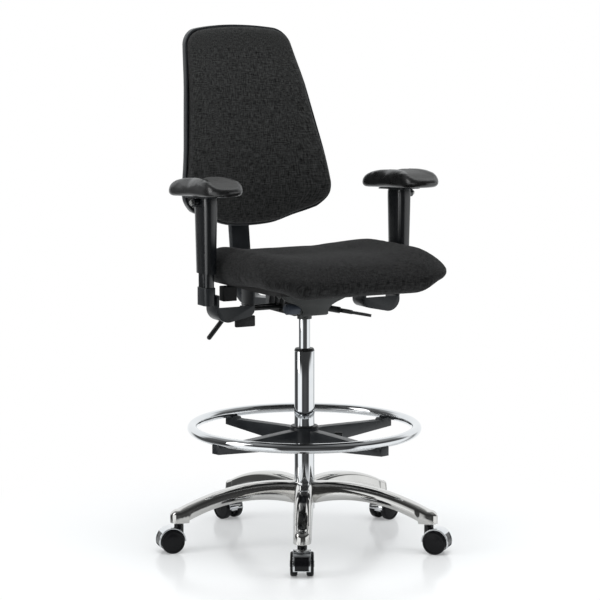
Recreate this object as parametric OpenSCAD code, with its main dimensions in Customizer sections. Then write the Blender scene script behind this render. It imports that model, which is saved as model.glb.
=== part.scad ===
// High drafting chair: five-star caster base, gas column, sliding foot ring,
// multi-lever tilt mechanism, upholstered seat and back, adjustable T-arms.
// Millimetres. The origin is on the column axis at floor level, +Z is up and
// the chair faces -Y, so the sitter's left is +X.

/* [Base] */
// Radius of the circle through the five caster stems
base_radius = 320; // [305:1:335]
// Direction of the first leg, in degrees from the front
base_turn = -29; // [-36:1:36]
// Height of the crown of the legs
leg_crown = 160; // [154:1:168]
// Width of a leg at the hub
leg_width = 54; // [50:1:56]

/* [Casters] */
// Diameter of each twin wheel
wheel_d = 58; // [56:1:60]
// Width of one wheel
wheel_w = 17; // [15:0.5:18]
// Distance of the axle behind the stem
caster_trail = 20; // [17:1:23]

/* [Column] */
// Outer diameter of the column tube
tube_d = 50; // [48:1:52]
// Height of the top of the column tube
tube_top = 481; // [470:1:495]
// Diameter of the gas cylinder
gas_d = 28; // [26:1:29]
// Gas cylinder showing between the tube collar and the mechanism
gas_rise = 73; // [70:1:90]

/* [Foot ring] */
// Outside diameter of the foot ring
ring_d = 576; // [550:1:600]
// Diameter of the ring's own tube
ring_tube_d = 24; // [22:1:26]
// Height of the ring's centre line
ring_z = 290; // [280:1:300]
// Direction of the first spider arm, in degrees from the front
ring_turn = 14; // [-40:1:40]

/* [Seat] */
// Width of the seat cushion
seat_w = 490; // [470:1:494]
// Depth of the seat cushion
seat_d = 480; // [460:1:490]
// Distance of the seat's front edge ahead of the column axis
seat_front = 315; // [305:1:325]
// Thickness of the cushion at its front roll
seat_t = 90; // [84:1:96]

/* [Back] */
// Width of the back at its widest place
back_w = 414; // [390:1:424]
// Width of the back at its top corners
back_top_w = 300; // [280:1:320]
// Height of the back
back_h = 507; // [480:1:520]
// Thickness of the back cushion
back_pad_t = 48; // [40:1:52]
// Lean of the upper back, in degrees
back_lean = 12.9; // [10:0.1:15]

/* [Arms] */
// Gap between the seat cushion and each arm's sleeve
arm_gap = 3; // [3:0.5:8]
// Length of an arm pad
pad_len = 278; // [260:1:290]
// Width of an arm pad
pad_w = 94; // [86:1:96]
// Height of the arm post's sleeve
sleeve_h = 181; // [176:1:190]

/* [Hidden] */
$fn = 64;
// General clearances
run_gap = 0.05;
slide_gap = 0.3;
seat_gap = 0.3;
legs = 5;
leg_step = 360 / legs;

// Casters
wheel_r = wheel_d / 2;
axle_r = 4;
stem_r = 5.5;
web_w = 20;
wheel_gap = web_w + 1.2;
caster_w = wheel_gap + 2 * wheel_w;
hood_lap = 10.4;
hood_w = wheel_gap + 2 * hood_lap;
hood_wall = 3.4;
hood_play = 1.2;
hood_r = wheel_r + hood_play + hood_wall;
window_w = hood_w - 8;
window_low = 22;
window_high = 47;
window_t = 1.2;
boss_r = 11.5;
boss_top = wheel_d + 10;
caster_turn = [0, 0, -6, 7, 0];

// Base star
leg_lift = 4.5;
socket_r = 22;
socket_bottom = boss_top + leg_lift;
socket_top = socket_bottom + 31;
hub_r = 49;
hub_bottom = leg_crown - 61;
hub_top = leg_crown - 3;
crown_at = 85;
under_at = 130;
leg_base_t = 40.5;
leg_drop = leg_crown - socket_top - 1;
crown_r = (pow(base_radius - crown_at, 2) + pow(leg_drop, 2)) / (2 * leg_drop);
under_top = leg_crown - leg_base_t;
under_drop = under_top - socket_bottom - 4;
under_r = (pow(base_radius - 22 - under_at, 2) + pow(under_drop, 2)) / (2 * under_drop);
leg_round = 16;
leg_wall = 4;
leg_rib_t = 3;
leg_tip_w = leg_width - 11;

// Column
tube_r = tube_d / 2;
tube_wall = 2;
tube_bottom = hub_bottom - 12;
bush_flange = 6;
bush_len = 90;
gas_r = gas_d / 2;
gas_wall = 1.6;
rod_r = 5;
socket_z = tube_top + bush_flange + gas_rise;
gas_top = socket_z + 65;
gas_bottom = tube_top - 244;
gas_head = 25;
piston_z = tube_top - 40;
pin_r = 4;
race_t = 2;
ball_r = 2.5;

// Foot ring and its spider
ring_r = ring_d / 2 - ring_tube_d / 2;
ring_wall = 2;
sleeve_wall = 6;
ring_sleeve_r = tube_r + run_gap + sleeve_wall;
spider_hub_r = ring_sleeve_r + 5;
spider_hub_h = 52;
spider_bottom = ring_z - 50;
spider_arm_w = 24;
arm_end_h = 22;
arm_root_h = 46;
arm_saddle = 3.5;
knob_turn = ring_turn + 45;
ring_screw_r = 3;

// Mechanism, with heights counted from the bottom of the column socket
mech_w = 64;
mech_wall = 3;
mech_bottom = 14;
mech_top = 62;
mech_front = -56;
mech_rear = 120;
socket_wall = 4;
tilt_pin_y = -42;
tilt_pin_z = 32;
tilt_pin_r = 5;
back_pin_y = 85;
back_pin_z = 38;
back_pin_r = 6;
plate_z = 90;
plate_t = 3;
plate_front = -63;
plate_rear = 150;
bolt_y = [-36, 122];
cheek_gap = 3;
cover_gap = 6.5;
cover_t = 2.5;
cover_front = -25;
cover_rear = 128;
lever_z = 26;
height_lever_y = 48;
back_lever_y = 78;
lever_r = 5.5;
paddle = [53, 27];
paddle_x = -124;
paddle_neck = 24;
tilt_lever_fall = 12;
pin_stand = 6;

// Back bar: a channel that runs back under the seat and turns up
bar_w = 50;
bar_t = 5;
bar_flange = 17;
bar_flange_t = 4;
bar_fall = 5;
bar_lean = 8;
bar_reach = 242;
bar_bend_r = 55;
bar_up = 400;
bar_turn = 90 - bar_lean + bar_fall;
bar_set = bar_bend_r * tan(bar_turn / 2);
corner_y = back_pin_y + bar_reach;
corner_z = back_pin_z - bar_reach * tan(bar_fall);

// Seat
pan_z = plate_z + plate_t;
pan_t = 15;
cushion_bottom = plate_z;
seat_rear = seat_d - seat_front;
seat_front_r = 70;
seat_rear_r = 110;
nose_r = seat_t / 2;
tail_r = seat_t * 0.3;
pan_inset = 40;

// Back, with heights counted from its lowest edge
back_low = 201;
spine_y = 315;
spine_z = 103;
spine_r = 520;
spine_top_z = spine_z + spine_r * sin(back_lean);
shell_t = 5;
pad_inset = 6;
rim_depth = 16;
rim_t = pad_inset - 1.5;
wrap_axis = -112;
back_bottom_r = 430;
back_low_r = 80;
back_high_r = 42;
bracket_w = 66;
bracket_up = 270;
bracket_h = 96;
bracket_t = 36;

// Arms
post_in = [25, 48];
post_socket = [30, 53];
sleeve_low = [30.5, 58];
sleeve_high = [36, 64];
post_x = seat_w / 2 + arm_gap + sleeve_high[0] / 2;
strap_w = 60;
strap_t = 6;
strap_run = 101;
strap_bolt = 10;
strap_bolt_y = 18;
strap_slot = 28;
strap_foot = 46;
strap_out = post_x - 14;
strap_in = strap_out - strap_run;
foot_gap = 5;
bolt_edge = 20;
plate_w = 2 * (strap_in - strap_foot - foot_gap);
bolt_x = plate_w / 2 - bolt_edge;
strap_top = 45;
strap_low = 8;
post_bottom = 52;
post_top = 255;
socket_low = 50;
socket_high = 93;
sleeve_bottom = 127;
sleeve_top = sleeve_bottom + sleeve_h;
plate_arm_t = 3;
pad_z = sleeve_top + plate_arm_t;
button_z = sleeve_bottom + sleeve_h - 11;

// A cylinder along X between two places
module rod_x(r, from, to) {
  translate([from, 0, 0])
    rotate([0, 90, 0])
      cylinder(r = r, h = to - from);
}

// A side outline, drawn as Y and Z, given a width centred on X
module side_slab(width) {
  rotate([90, 0, 90])
    linear_extrude(width, center = true)
      children();
}

// A front outline, drawn as X and Z, carried from one Y to another
module front_slab(from, to) {
  translate([0, to, 0])
    rotate([90, 0, 0])
      linear_extrude(to - from)
        children();
}

// A rectangle with round corners, centred
module round_rect(size, r) {
  hull()
    for (x = [-1, 1], y = [-1, 1])
      translate([x * (size[0] / 2 - r), y * (size[1] / 2 - r)])
        circle(r = r, $fn = 32);
}

// Lifts a part of the upper chair to the column socket's height
module on_column() {
  translate([0, 0, socket_z])
    children();
}

// The left part of a pair, or its mirror image on the right
module hand(side) {
  mirror([side > 0 ? 0 : 1, 0, 0])
    children();
}

// ---- Casters ----

// Puts a caster's part at its leg and turns it to its rest direction
module at_caster(index) {
  rotate([0, 0, base_turn + leg_step * index])
    translate([0, -base_radius, 0])
      rotate([0, 0, caster_turn[index]])
        children();
}

// Moves to the axle, behind the stem
module at_axle() {
  translate([0, -caster_trail, wheel_r])
    children();
}

module caster_hood(index) {
  skirt_front = 17;
  skirt_back = wheel_r + 9;
  color("gainsboro")
    at_caster(index)
      difference() {
        union() {
          intersection() {
            at_axle()
              rod_x(hood_r, -hood_w / 2, hood_w / 2);
            side_slab(hood_w + 2)
              polygon([
                [-caster_trail - hood_r - 1, skirt_front],
                [-caster_trail, skirt_front],
                [-caster_trail, skirt_back],
                [hood_r, skirt_back],
                [hood_r, boss_top],
                [-caster_trail - hood_r - 1, boss_top]
              ]);
          }
          at_axle()
            intersection() {
              rod_x(wheel_r - 3, -web_w / 2, web_w / 2);
              translate([0, 0, wheel_r / 2])
                cube([web_w, wheel_d, wheel_d - 16], center = true);
            }
          translate([0, 0, wheel_r])
            cylinder(r = boss_r, h = boss_top - wheel_r);
        }
        for (side = [-1, 1])
          translate([side * (wheel_gap + wheel_w + 1) / 2, 0, 0])
            at_axle()
              rod_x(wheel_r + hood_play, -(wheel_w + 2) / 2, (wheel_w + 2) / 2);
        // shallow window in the outward face
        difference() {
          translate([-window_w / 2, -caster_trail - hood_r - 1, window_low])
            cube([window_w, hood_r, window_high - window_low]);
          at_axle()
            rod_x(hood_r - window_t, -hood_w, hood_w);
        }
        at_axle()
          rod_x(axle_r, -caster_w, caster_w);
        translate([0, 0, wheel_r + 6])
          cylinder(r = stem_r, h = boss_top);
      }
}

module caster_pins(index) {
  color("silver")
    at_caster(index) {
      translate([0, 0, wheel_r + 6])
        cylinder(r = stem_r, h = socket_top - 6 - wheel_r - 6);
      at_axle()
        rod_x(axle_r, -caster_w / 2 + 4, caster_w / 2 - 4);
    }
}

// One wheel; side is -1 or 1
module caster_wheel(index, side) {
  half = wheel_w / 2;
  edge = 4;
  rim = [for (a = [0 : 22.5 : 90])
    [wheel_r - edge + edge * cos(a), half - edge + edge * sin(a)]];
  mouth = wheel_r - 8;
  outline = concat(
    [[axle_r + run_gap, -half], [axle_r + run_gap, half - 4], [8, half - 4],
     [9, half - 1], [mouth - 4, half - 2.5], [mouth, half]],
    [for (i = [len(rim) - 1 : -1 : 0]) rim[i]],
    [for (p = rim) [p[0], -p[1]]]
  );
  color([0.06, 0.06, 0.06])
    at_caster(index)
      translate([side * (wheel_gap / 2 + half), 0, 0])
        at_axle()
          rotate([0, side * 90, 0])
            rotate_extrude()
              polygon(outline);
}

// ---- Base ----

// A round-shouldered bar bent along the arch of the legs' top
module leg_arch() {
  sweep = 2 * asin(base_radius / crown_r);
  depth = crown_r - leg_crown + 20;
  translate([0, -crown_at, leg_crown - crown_r])
    rotate([0, 90, 0])
      rotate([0, 0, 180 - sweep / 2])
        rotate_extrude(angle = sweep, $fn = 180)
          difference() {
            translate([depth, -leg_width / 2])
              square([crown_r - depth, leg_width]);
            for (y = [-1, 1])
              scale([1, y])
                translate([crown_r - leg_round, leg_width / 2 - leg_round])
                  difference() {
                    square(leg_round + 1);
                    circle(r = leg_round, $fn = 32);
                  }
          }
}

// Plan of a leg between the hub and its tip, pulled in by an inset
module leg_plan(inset) {
  root = leg_width / 2 - inset;
  tip = leg_tip_w / 2 - inset;
  end_y = -base_radius + inset / 2;
  polygon([[-root, -8], [root, -8], [tip, end_y], [-tip, end_y]]);
}

// The space below the arched underside
module under_leg() {
  translate([0, -under_at, under_top - under_r])
    rod_x(under_r, -leg_width, leg_width);
}

// The hollow inside a leg, open below
module leg_hollow() {
  drop = leg_round * 0.6;
  intersection() {
    translate([0, -crown_at, leg_crown - crown_r])
      rod_x(crown_r - drop, -leg_width, leg_width);
    linear_extrude(leg_crown)
      leg_plan(leg_wall);
    translate([-leg_width, -base_radius + socket_r + 3, 0])
      cube([2 * leg_width, base_radius - socket_r - hub_r - 6, leg_crown]);
  }
}

module base_leg() {
  difference() {
    union() {
      intersection() {
        leg_arch();
        translate([0, 0, socket_bottom])
          linear_extrude(leg_crown)
            leg_plan(0);
      }
      translate([0, -base_radius, socket_bottom])
        cylinder(r = socket_r, h = socket_top - socket_bottom - 4);
      translate([0, -base_radius, socket_top - 4])
        cylinder(r1 = socket_r, r2 = socket_r - 4, h = 4);
    }
    difference() {
      under_leg();
      translate([0, -base_radius, socket_bottom])
        cylinder(r = socket_r, h = leg_crown);
    }
    difference() {
      leg_hollow();
      difference() {
        translate([-leg_rib_t / 2, -base_radius, 0])
          cube([leg_rib_t, base_radius, leg_crown]);
        translate([0, 0, 3])
          under_leg();
      }
    }
    translate([0, -base_radius, socket_bottom - 1])
      cylinder(r = stem_r + run_gap, h = socket_top - socket_bottom - 4);
  }
}

module base_star() {
  color("silver")
    difference() {
      union() {
        for (i = [0 : legs - 1])
          rotate([0, 0, base_turn + leg_step * i])
            base_leg();
        translate([0, 0, hub_bottom])
          cylinder(r = hub_r, h = hub_top - hub_bottom);
      }
      translate([0, 0, hub_bottom - 50])
        cylinder(r = tube_r, h = 200);
    }
}

// ---- Column ----

module column_tube() {
  color("gainsboro")
    difference() {
      translate([0, 0, tube_bottom])
        cylinder(r = tube_r, h = tube_top - tube_bottom);
      translate([0, 0, tube_bottom + 3])
        cylinder(r = tube_r - tube_wall, h = tube_top);
      translate([0, 0, tube_bottom - 1])
        cylinder(r = rod_r + run_gap, h = 5);
    }
}

module column_bush() {
  color([0.08, 0.08, 0.08])
    difference() {
      union() {
        translate([0, 0, tube_top - bush_len])
          cylinder(r = tube_r - tube_wall, h = bush_len);
        translate([0, 0, tube_top])
          cylinder(r1 = tube_r, r2 = tube_r - 2.5, h = bush_flange);
      }
      translate([0, 0, tube_top - bush_len - 1])
        cylinder(r = gas_r + run_gap, h = bush_len + bush_flange + 2);
    }
}

module race(z) {
  translate([0, 0, z])
    difference() {
      cylinder(r = 16, h = race_t);
      translate([0, 0, -1])
        cylinder(r = rod_r + 0.5, h = race_t + 2);
    }
}

// Two races with their balls, and the clip below the tube's floor
module thrust_bearing() {
  floor_z = tube_bottom + 3 + run_gap;
  color("silver") {
    race(floor_z);
    race(floor_z + race_t + 2 * ball_r + 2 * run_gap);
    for (a = [0 : 45 : 315])
      rotate([0, 0, a])
        translate([11, 0, floor_z + race_t + ball_r + run_gap])
          sphere(r = ball_r, $fn = 24);
    translate([0, 0, tube_bottom - 2 - run_gap])
      difference() {
        cylinder(r = 9, h = 2);
        translate([0, 0, -1])
          cylinder(r = rod_r - 1, h = 4);
      }
  }
}

module piston_rod() {
  shoulder_z = tube_bottom + 3 + 3 * run_gap + 2 * race_t + 2 * ball_r;
  color("silver")
    difference() {
      union() {
        translate([0, 0, tube_bottom - 5])
          cylinder(r = rod_r, h = piston_z - tube_bottom + 5);
        translate([0, 0, shoulder_z])
          cylinder(r = 8, h = 4);
        translate([0, 0, piston_z - 14])
          cylinder(r = gas_r - gas_wall - run_gap, h = 14);
      }
      translate([0, 0, tube_bottom - 2 - run_gap])
        difference() {
          cylinder(r = rod_r + 1, h = 2);
          translate([0, 0, -1])
            cylinder(r = rod_r - 1, h = 4);
        }
    }
}

module gas_cylinder() {
  color("gainsboro")
    difference() {
      translate([0, 0, gas_bottom])
        cylinder(r = gas_r, h = gas_top - gas_bottom);
      translate([0, 0, gas_bottom + 8])
        cylinder(r = gas_r - gas_wall, h = gas_top - gas_head - gas_bottom - 8);
      translate([0, 0, gas_bottom - 1])
        cylinder(r = rod_r + run_gap, h = 10);
      translate([0, 0, gas_top - 18])
        cylinder(r = pin_r + run_gap, h = 19);
    }
}

module release_pin() {
  color("silver")
    translate([0, 0, gas_top - 14])
      cylinder(r = pin_r, h = 14 + pin_stand);
}

// ---- Foot ring ----

module foot_ring() {
  color("gainsboro")
    difference() {
      translate([0, 0, ring_z])
        rotate_extrude($fn = 128)
          translate([ring_r, 0])
            difference() {
              circle(r = ring_tube_d / 2);
              circle(r = ring_tube_d / 2 - ring_wall);
            }
      for (i = [0 : 3])
        rotate([0, 0, ring_turn + 90 * i])
          translate([0, -ring_r, ring_z - ring_tube_d])
            cylinder(r = ring_screw_r, h = ring_tube_d);
    }
}

// One arm of the spider, a pressed channel that tapers to the ring
module spider_arm() {
  tip = ring_r + 10;
  tip_top = ring_z - ring_tube_d / 2 + arm_saddle;
  root_top = spider_bottom + arm_root_h;
  wall = 3;
  difference() {
    side_slab(spider_arm_w)
      polygon([
        [0, root_top], [-spider_hub_r - 20, root_top],
        [-tip + 34, tip_top - arm_saddle - 1], [-tip + 30, tip_top], [-tip, tip_top],
        [-tip, tip_top - arm_end_h], [-spider_hub_r - 20, spider_bottom + 2],
        [0, spider_bottom + 2]
      ]);
    side_slab(spider_arm_w - 2 * wall)
      polygon([
        [0, root_top - wall], [-spider_hub_r - 20, root_top - wall],
        [-tip + 34, tip_top - arm_saddle - 1 - wall],
        [-tip + wall, tip_top - arm_saddle - 1 - wall],
        [-tip + wall, tip_top - arm_end_h - 1], [-spider_hub_r - 20, spider_bottom - 1],
        [0, spider_bottom - 1]
      ]);
    translate([0, -ring_r, ring_z - 2 * ring_tube_d])
      cylinder(r = ring_screw_r, h = 2 * ring_tube_d);
  }
}

module ring_spider() {
  color([0.13, 0.13, 0.14])
    difference() {
      union() {
        for (i = [0 : 3])
          rotate([0, 0, ring_turn + 90 * i])
            spider_arm();
        translate([0, 0, spider_bottom])
          cylinder(r = spider_hub_r, h = spider_hub_h);
      }
      translate([0, 0, spider_bottom - 1])
        cylinder(r = ring_sleeve_r + run_gap, h = spider_hub_h + 2);
      translate([0, 0, ring_z])
        rotate_extrude($fn = 128)
          translate([ring_r, 0])
            circle(r = ring_tube_d / 2);
      rotate([0, 0, knob_turn])
        translate([0, 0, ring_z - 24])
          rotate([90, 0, 0])
            cylinder(r = 4 + run_gap, h = 100);
    }
}

// Screws that come up through the arm ends into the ring
module ring_screws() {
  seat_z = ring_z - ring_tube_d / 2 - 1 - 3;
  color("silver")
    for (i = [0 : 3])
      rotate([0, 0, ring_turn + 90 * i])
        translate([0, -ring_r, seat_z]) {
          cylinder(r = ring_screw_r, h = 12);
          translate([0, 0, -3])
            cylinder(r = 5, h = 3);
        }
}

module ring_sleeve() {
  color([0.1, 0.1, 0.1])
    difference() {
      translate([0, 0, spider_bottom - 3])
        union() {
          cylinder(r = ring_sleeve_r, h = spider_hub_h + 6);
          cylinder(r = ring_sleeve_r + 3, h = 3 - run_gap);
          translate([0, 0, spider_hub_h + 3 + run_gap])
            cylinder(r = ring_sleeve_r + 2, h = 3);
        }
      translate([0, 0, spider_bottom - 4])
        cylinder(r = tube_r + run_gap, h = spider_hub_h + 8);
      rotate([0, 0, knob_turn + 180])
        translate([-1, -ring_sleeve_r - 4, spider_bottom - 4])
          cube([2, sleeve_wall + 6, spider_hub_h + 9]);
    }
}

// Clamp knob with its screw, pointing out between two arms
module ring_knob() {
  color([0.08, 0.08, 0.08])
    rotate([0, 0, knob_turn])
      translate([0, 0, ring_z - 24])
        rotate([90, 0, 0])
          difference() {
            union() {
              translate([0, 0, ring_sleeve_r + run_gap + 0.2])
                cylinder(r = 4, h = 60);
              translate([0, 0, ring_sleeve_r + 43])
                cylinder(r = 12, h = 20);
            }
            for (a = [0 : 60 : 300])
              rotate([0, 0, a])
                translate([14.5, 0, ring_sleeve_r + 40])
                  cylinder(r = 4.5, h = 26);
          }
}

// ---- Mechanism ----

module mech_housing() {
  inner = mech_w - 2 * mech_wall;
  color([0.2, 0.23, 0.22])
    on_column()
      difference() {
        union() {
          difference() {
            translate([-mech_w / 2, mech_front, mech_bottom])
              cube([mech_w, mech_rear - mech_front, mech_top - mech_bottom]);
            translate([-inner / 2, mech_front + mech_wall, mech_bottom + mech_wall])
              cube([inner, mech_rear - mech_front, mech_top]);
          }
          cylinder(r = gas_r + socket_wall, h = 66);
        }
        translate([0, 0, -1])
          cylinder(r = gas_r, h = 70);
        translate([0, tilt_pin_y, tilt_pin_z])
          rod_x(tilt_pin_r, -mech_w, mech_w);
        translate([0, back_pin_y, back_pin_z])
          rod_x(back_pin_r, -mech_w, mech_w);
        translate([0, back_lever_y, lever_z])
          rod_x(lever_r + run_gap, -mech_w, 0);
        translate([0, height_lever_y, lever_z])
          rod_x(lever_r + 0.25, -mech_w, 0);
        translate([0, 0, lever_z])
          rod_x(lever_r + run_gap, gas_r + socket_wall + 1, mech_w);
        translate([0, 0, mech_bottom])
          for (x = [-1, 1], y = [45, 70])
            translate([x * 18, y, -1])
              cylinder(r = 4, h = 6);
        // clear way for the back bar to swing down
        translate([-bar_w / 2 - 2, back_pin_y + 5, mech_bottom - 1])
          cube([bar_w + 4, mech_rear - back_pin_y, mech_wall + 2]);
      }
}

// Cross shafts of the seat tilt and of the back bar
module pivot_pins() {
  color("silver")
    on_column() {
      translate([0, tilt_pin_y, tilt_pin_z]) {
        rod_x(tilt_pin_r, -mech_w / 2 - 12, mech_w / 2 + 9);
        rod_x(8, mech_w / 2 + 6.4, mech_w / 2 + 9);
      }
      translate([0, back_pin_y, back_pin_z])
        rod_x(back_pin_r, -mech_w / 2 - 4, mech_w / 2 + 4);
    }
}

// Round cap over the end of the tilt shaft
module pivot_cap() {
  start = mech_w / 2 + 6.6;
  color([0.3, 0.36, 0.42])
    on_column()
      translate([0, tilt_pin_y, tilt_pin_z])
        difference() {
          union() {
            rod_x(13.5, -start - 34, -start);
            rod_x(11, -start - 37, -start);
          }
          rod_x(tilt_pin_r, -start - 6, 0);
        }
}

// Plastic cover round the housing's rear, ribbed on its sides
module rear_cover() {
  half = mech_w / 2 + cover_gap;
  color([0.05, 0.05, 0.05])
    on_column()
      difference() {
        union() {
          difference() {
            translate([-half - cover_t, cover_front, mech_bottom - cover_t])
              cube([2 * (half + cover_t), cover_rear - cover_front, 48]);
            translate([-half, cover_front - 1, mech_bottom])
              cube([2 * half, cover_rear - cover_front + 2, 60]);
          }
          for (x = [-1, 1], i = [0 : 3])
            translate([x * (half + cover_t), 20 + i * 28, mech_bottom + 21])
              rotate([14, 0, 0])
                cube([5, 3, 46], center = true);
          for (x = [-1, 1], y = [cover_front + 8, cover_rear - 10])
            translate([x * (half - cover_gap / 2), y, mech_bottom + 20])
              cube([cover_gap, 4, 40], center = true);
        }
        translate([-60, cover_front - 10, mech_bottom - 12])
          cube([120, 200, 12 - cover_t]);
        translate([-bar_w / 2 - 2, back_pin_y + 13, mech_bottom - cover_t - 1])
          cube([bar_w + 4, cover_rear - back_pin_y, cover_t + 2]);
        translate([0, 0, -1])
          cylinder(r = gas_r + socket_wall + 1, h = 30);
        translate([0, back_lever_y, lever_z])
          rod_x(lever_r + slide_gap, -mech_w, 0);
        translate([0, height_lever_y, lever_z])
          rod_x(lever_r + 1.6, -mech_w, 0);
        translate([0, 0, lever_z])
          rod_x(lever_r + slide_gap, 0, mech_w);
      }
}

// Rod that rocks in the housing's wall; its finger reaches over the valve pin
module height_lever() {
  wall_x = mech_w / 2 - mech_wall / 2;
  grip_x = 180;
  grip_r = lever_r + 0.4;
  grip_l = 84;
  finger_z = 65 + pin_stand + 0.5;
  color([0.09, 0.09, 0.09])
    on_column() {
      translate([0, height_lever_y, lever_z])
        rod_x(lever_r, -grip_x, -wall_x + 4);
      translate([-grip_x, height_lever_y, lever_z])
        rotate([0, -138.5, 0])
          rotate_extrude()
            polygon(concat(
              [[0, 0], [grip_r, 0]],
              [for (a = [0 : 15 : 75]) [grip_r * cos(a), grip_l + grip_r * sin(a)]],
              [[0, grip_l + grip_r]]
            ));
      translate([-grip_x, height_lever_y, lever_z])
        sphere(r = grip_r + 1);
      translate([-wall_x + 3, height_lever_y - 5, lever_z - lever_r])
        cube([6, 10, finger_z - lever_z + lever_r + 5]);
      translate([0, 0, finger_z])
        linear_extrude(5)
          polygon([
            [-wall_x + 3, height_lever_y + 5], [-wall_x + 3, height_lever_y - 8],
            [-6, -5], [0, -5], [0, 5], [-wall_x + 12, height_lever_y + 5]
          ]);
    }
}

// A flat paddle hanging from a cross rod
module back_lever() {
  inner_x = mech_w / 2 - mech_wall - 1.4;
  paddle_drop = 34.5;
  color([0.09, 0.09, 0.09])
    on_column()
      translate([0, back_lever_y, lever_z]) {
        rod_x(lever_r, paddle_x - paddle_neck / 2, -inner_x);
        front_slab(-3.5, 3.5)
          union() {
            translate([paddle_x, -paddle_drop])
              round_rect(paddle, 3);
            translate([paddle_x - paddle_neck / 2, -paddle_drop])
              square([paddle_neck, paddle_drop]);
          }
      }
}

// A stepped blade on a round hub that falls away from its short rod
module tilt_lever() {
  inner_x = gas_r + socket_wall + 3;
  hub_at = mech_w / 2 + cover_gap + cover_t + 3;
  color([0.09, 0.09, 0.09])
    on_column()
      translate([0, 0, lever_z]) {
        rod_x(lever_r, inner_x, hub_at + 6);
        translate([hub_at, 0, 0])
          rotate([0, tilt_lever_fall, 0]) {
            rod_x(8, 0, 55);
            translate([0, 0, -5])
              linear_extrude(10)
                translate([67, 0])
                  round_rect([40, 26], 4);
            translate([0, 0, -4])
              linear_extrude(7)
                translate([96, 0])
                  round_rect([92, 30], 7);
          }
      }
}

// ---- Seat ----

// Stamped plate under the seat: top, front wall, side ears and pivot cheeks
module seat_plate() {
  half = plate_w / 2;
  cheek_x = mech_w / 2 + cheek_gap;
  wall_low = 40;
  neck = 38;
  color([0.2, 0.23, 0.22])
    on_column()
      difference() {
        union() {
          translate([-half, plate_front, plate_z])
            cube([plate_w, plate_rear - plate_front, plate_t]);
          front_slab(plate_front, plate_front + plate_t)
            difference() {
              polygon([
                [-half, plate_z + plate_t], [half, plate_z + plate_t],
                [half - 14, plate_z - 28], [neck, wall_low], [-neck, wall_low],
                [-half + 14, plate_z - 28]
              ]);
              for (x = [-1, 1])
                translate([x * (neck + 38), wall_low - 14])
                  circle(r = 30);
            }
          for (x = [-1, 1]) {
            translate([x * (half - plate_t / 2), 0, 0])
              side_slab(plate_t)
                polygon([
                  [plate_front, plate_z], [plate_front, plate_z - 26],
                  [plate_front + 10, plate_z - 28], [plate_front + 70, plate_z - 12],
                  [plate_rear, plate_z - 10], [plate_rear, plate_z]
                ]);
            translate([x * (cheek_x + 1.5), 0, 0])
              side_slab(3)
                difference() {
                  union() {
                    translate([tilt_pin_y - 14, tilt_pin_z])
                      square([28, plate_z - tilt_pin_z + 1]);
                    translate([tilt_pin_y, tilt_pin_z])
                      circle(r = 14);
                  }
                  translate([tilt_pin_y, tilt_pin_z])
                    circle(r = tilt_pin_r + run_gap);
                }
          }
        }
        for (x = [-1, 1], y = bolt_y)
          translate([x * bolt_x, y, plate_z - 1])
            cylinder(r = 3.2, h = plate_t + 2);
        for (x = [-58, 52])
          translate([x, plate_front - 1, plate_z - 12])
            rotate([-90, 0, 0])
              cylinder(r = 3, h = 6);
        translate([-half - 1, plate_front + 22, plate_z - 14])
          rod_x(3, 0, plate_w + 2);
      }
}

module seat_pan() {
  color([0.1, 0.1, 0.1])
    on_column()
      translate([0, 0, pan_z])
        difference() {
          linear_extrude(pan_t)
            pan_outline(0);
          for (x = [-1, 1], y = bolt_y)
            translate([x * bolt_x, y, -1])
              cylinder(r = 3, h = 13);
          for (x = [-1, 1], y = [-1, 1])
            translate([x * (strap_in - strap_bolt), y * strap_bolt_y, -1])
              cylinder(r = 3, h = 13);
        }
}

// Plan of the pan, grown by a margin
module pan_outline(grow) {
  width = seat_w - 2 * pan_inset + 2 * grow;
  front = seat_front - 62 + grow;
  rear = seat_rear - pan_inset + 10 + grow;
  translate([0, (rear - front) / 2])
    round_rect([width, front + rear], 60);
}

module seat_cushion() {
  half = seat_w / 2;
  low = cushion_bottom;
  high = cushion_bottom + seat_t;
  color([0.13, 0.13, 0.14])
    on_column()
      difference() {
        intersection() {
          translate([0, 0, low - 5])
            linear_extrude(seat_t + 20)
              hull()
                for (x = [-1, 1]) {
                  translate([x * (half - seat_front_r), -seat_front + seat_front_r])
                    circle(r = seat_front_r);
                  translate([x * (half - seat_rear_r), seat_rear - seat_rear_r])
                    circle(r = seat_rear_r);
                }
          side_slab(seat_w + 10)
            hull() {
              translate([-seat_front + nose_r, low + nose_r])
                circle(r = nose_r);
              translate([seat_rear - tail_r, low + 18 + tail_r])
                circle(r = tail_r);
            }
          front_slab(-seat_front - 5, seat_rear + 5)
            hull()
              for (x = [-1, 1]) {
                translate([x * (half - 40), high - 40])
                  circle(r = 40);
                translate([x * 80, low + 8])
                  circle(r = 8, $fn = 24);
              }
        }
        translate([0, 0, low - 10])
          linear_extrude(pan_z + pan_t + seat_gap - low + 10)
            pan_outline(seat_gap);
      }
}

// Bolts that hold the plate and both arm brackets to the pan
module seat_bolts() {
  color("silver")
    on_column() {
      for (x = [-1, 1], y = bolt_y)
        translate([x * bolt_x, y, plate_z])
          bolt();
      for (x = [-1, 1], y = [-1, 1])
        translate([x * (strap_in - strap_bolt), y * strap_bolt_y, pan_z - strap_t])
          bolt();
    }
}

// Hexagon bolt with its head below the seat face at z = 0
module bolt() {
  cylinder(r = 3, h = 14);
  translate([0, 0, -4])
    cylinder(r = 5.8, h = 4, $fn = 6);
}

// Rubber blocks under the pan's edges, inboard of the arm posts
module arm_buffers() {
  size = [36, 24, 36];
  color([0.03, 0.03, 0.03])
    on_column()
      for (x = [-1, 1])
        translate([x * (strap_out - 44), 0, pan_z - size[2] / 2])
          cube(size, center = true);
}

// ---- Back ----

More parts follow.
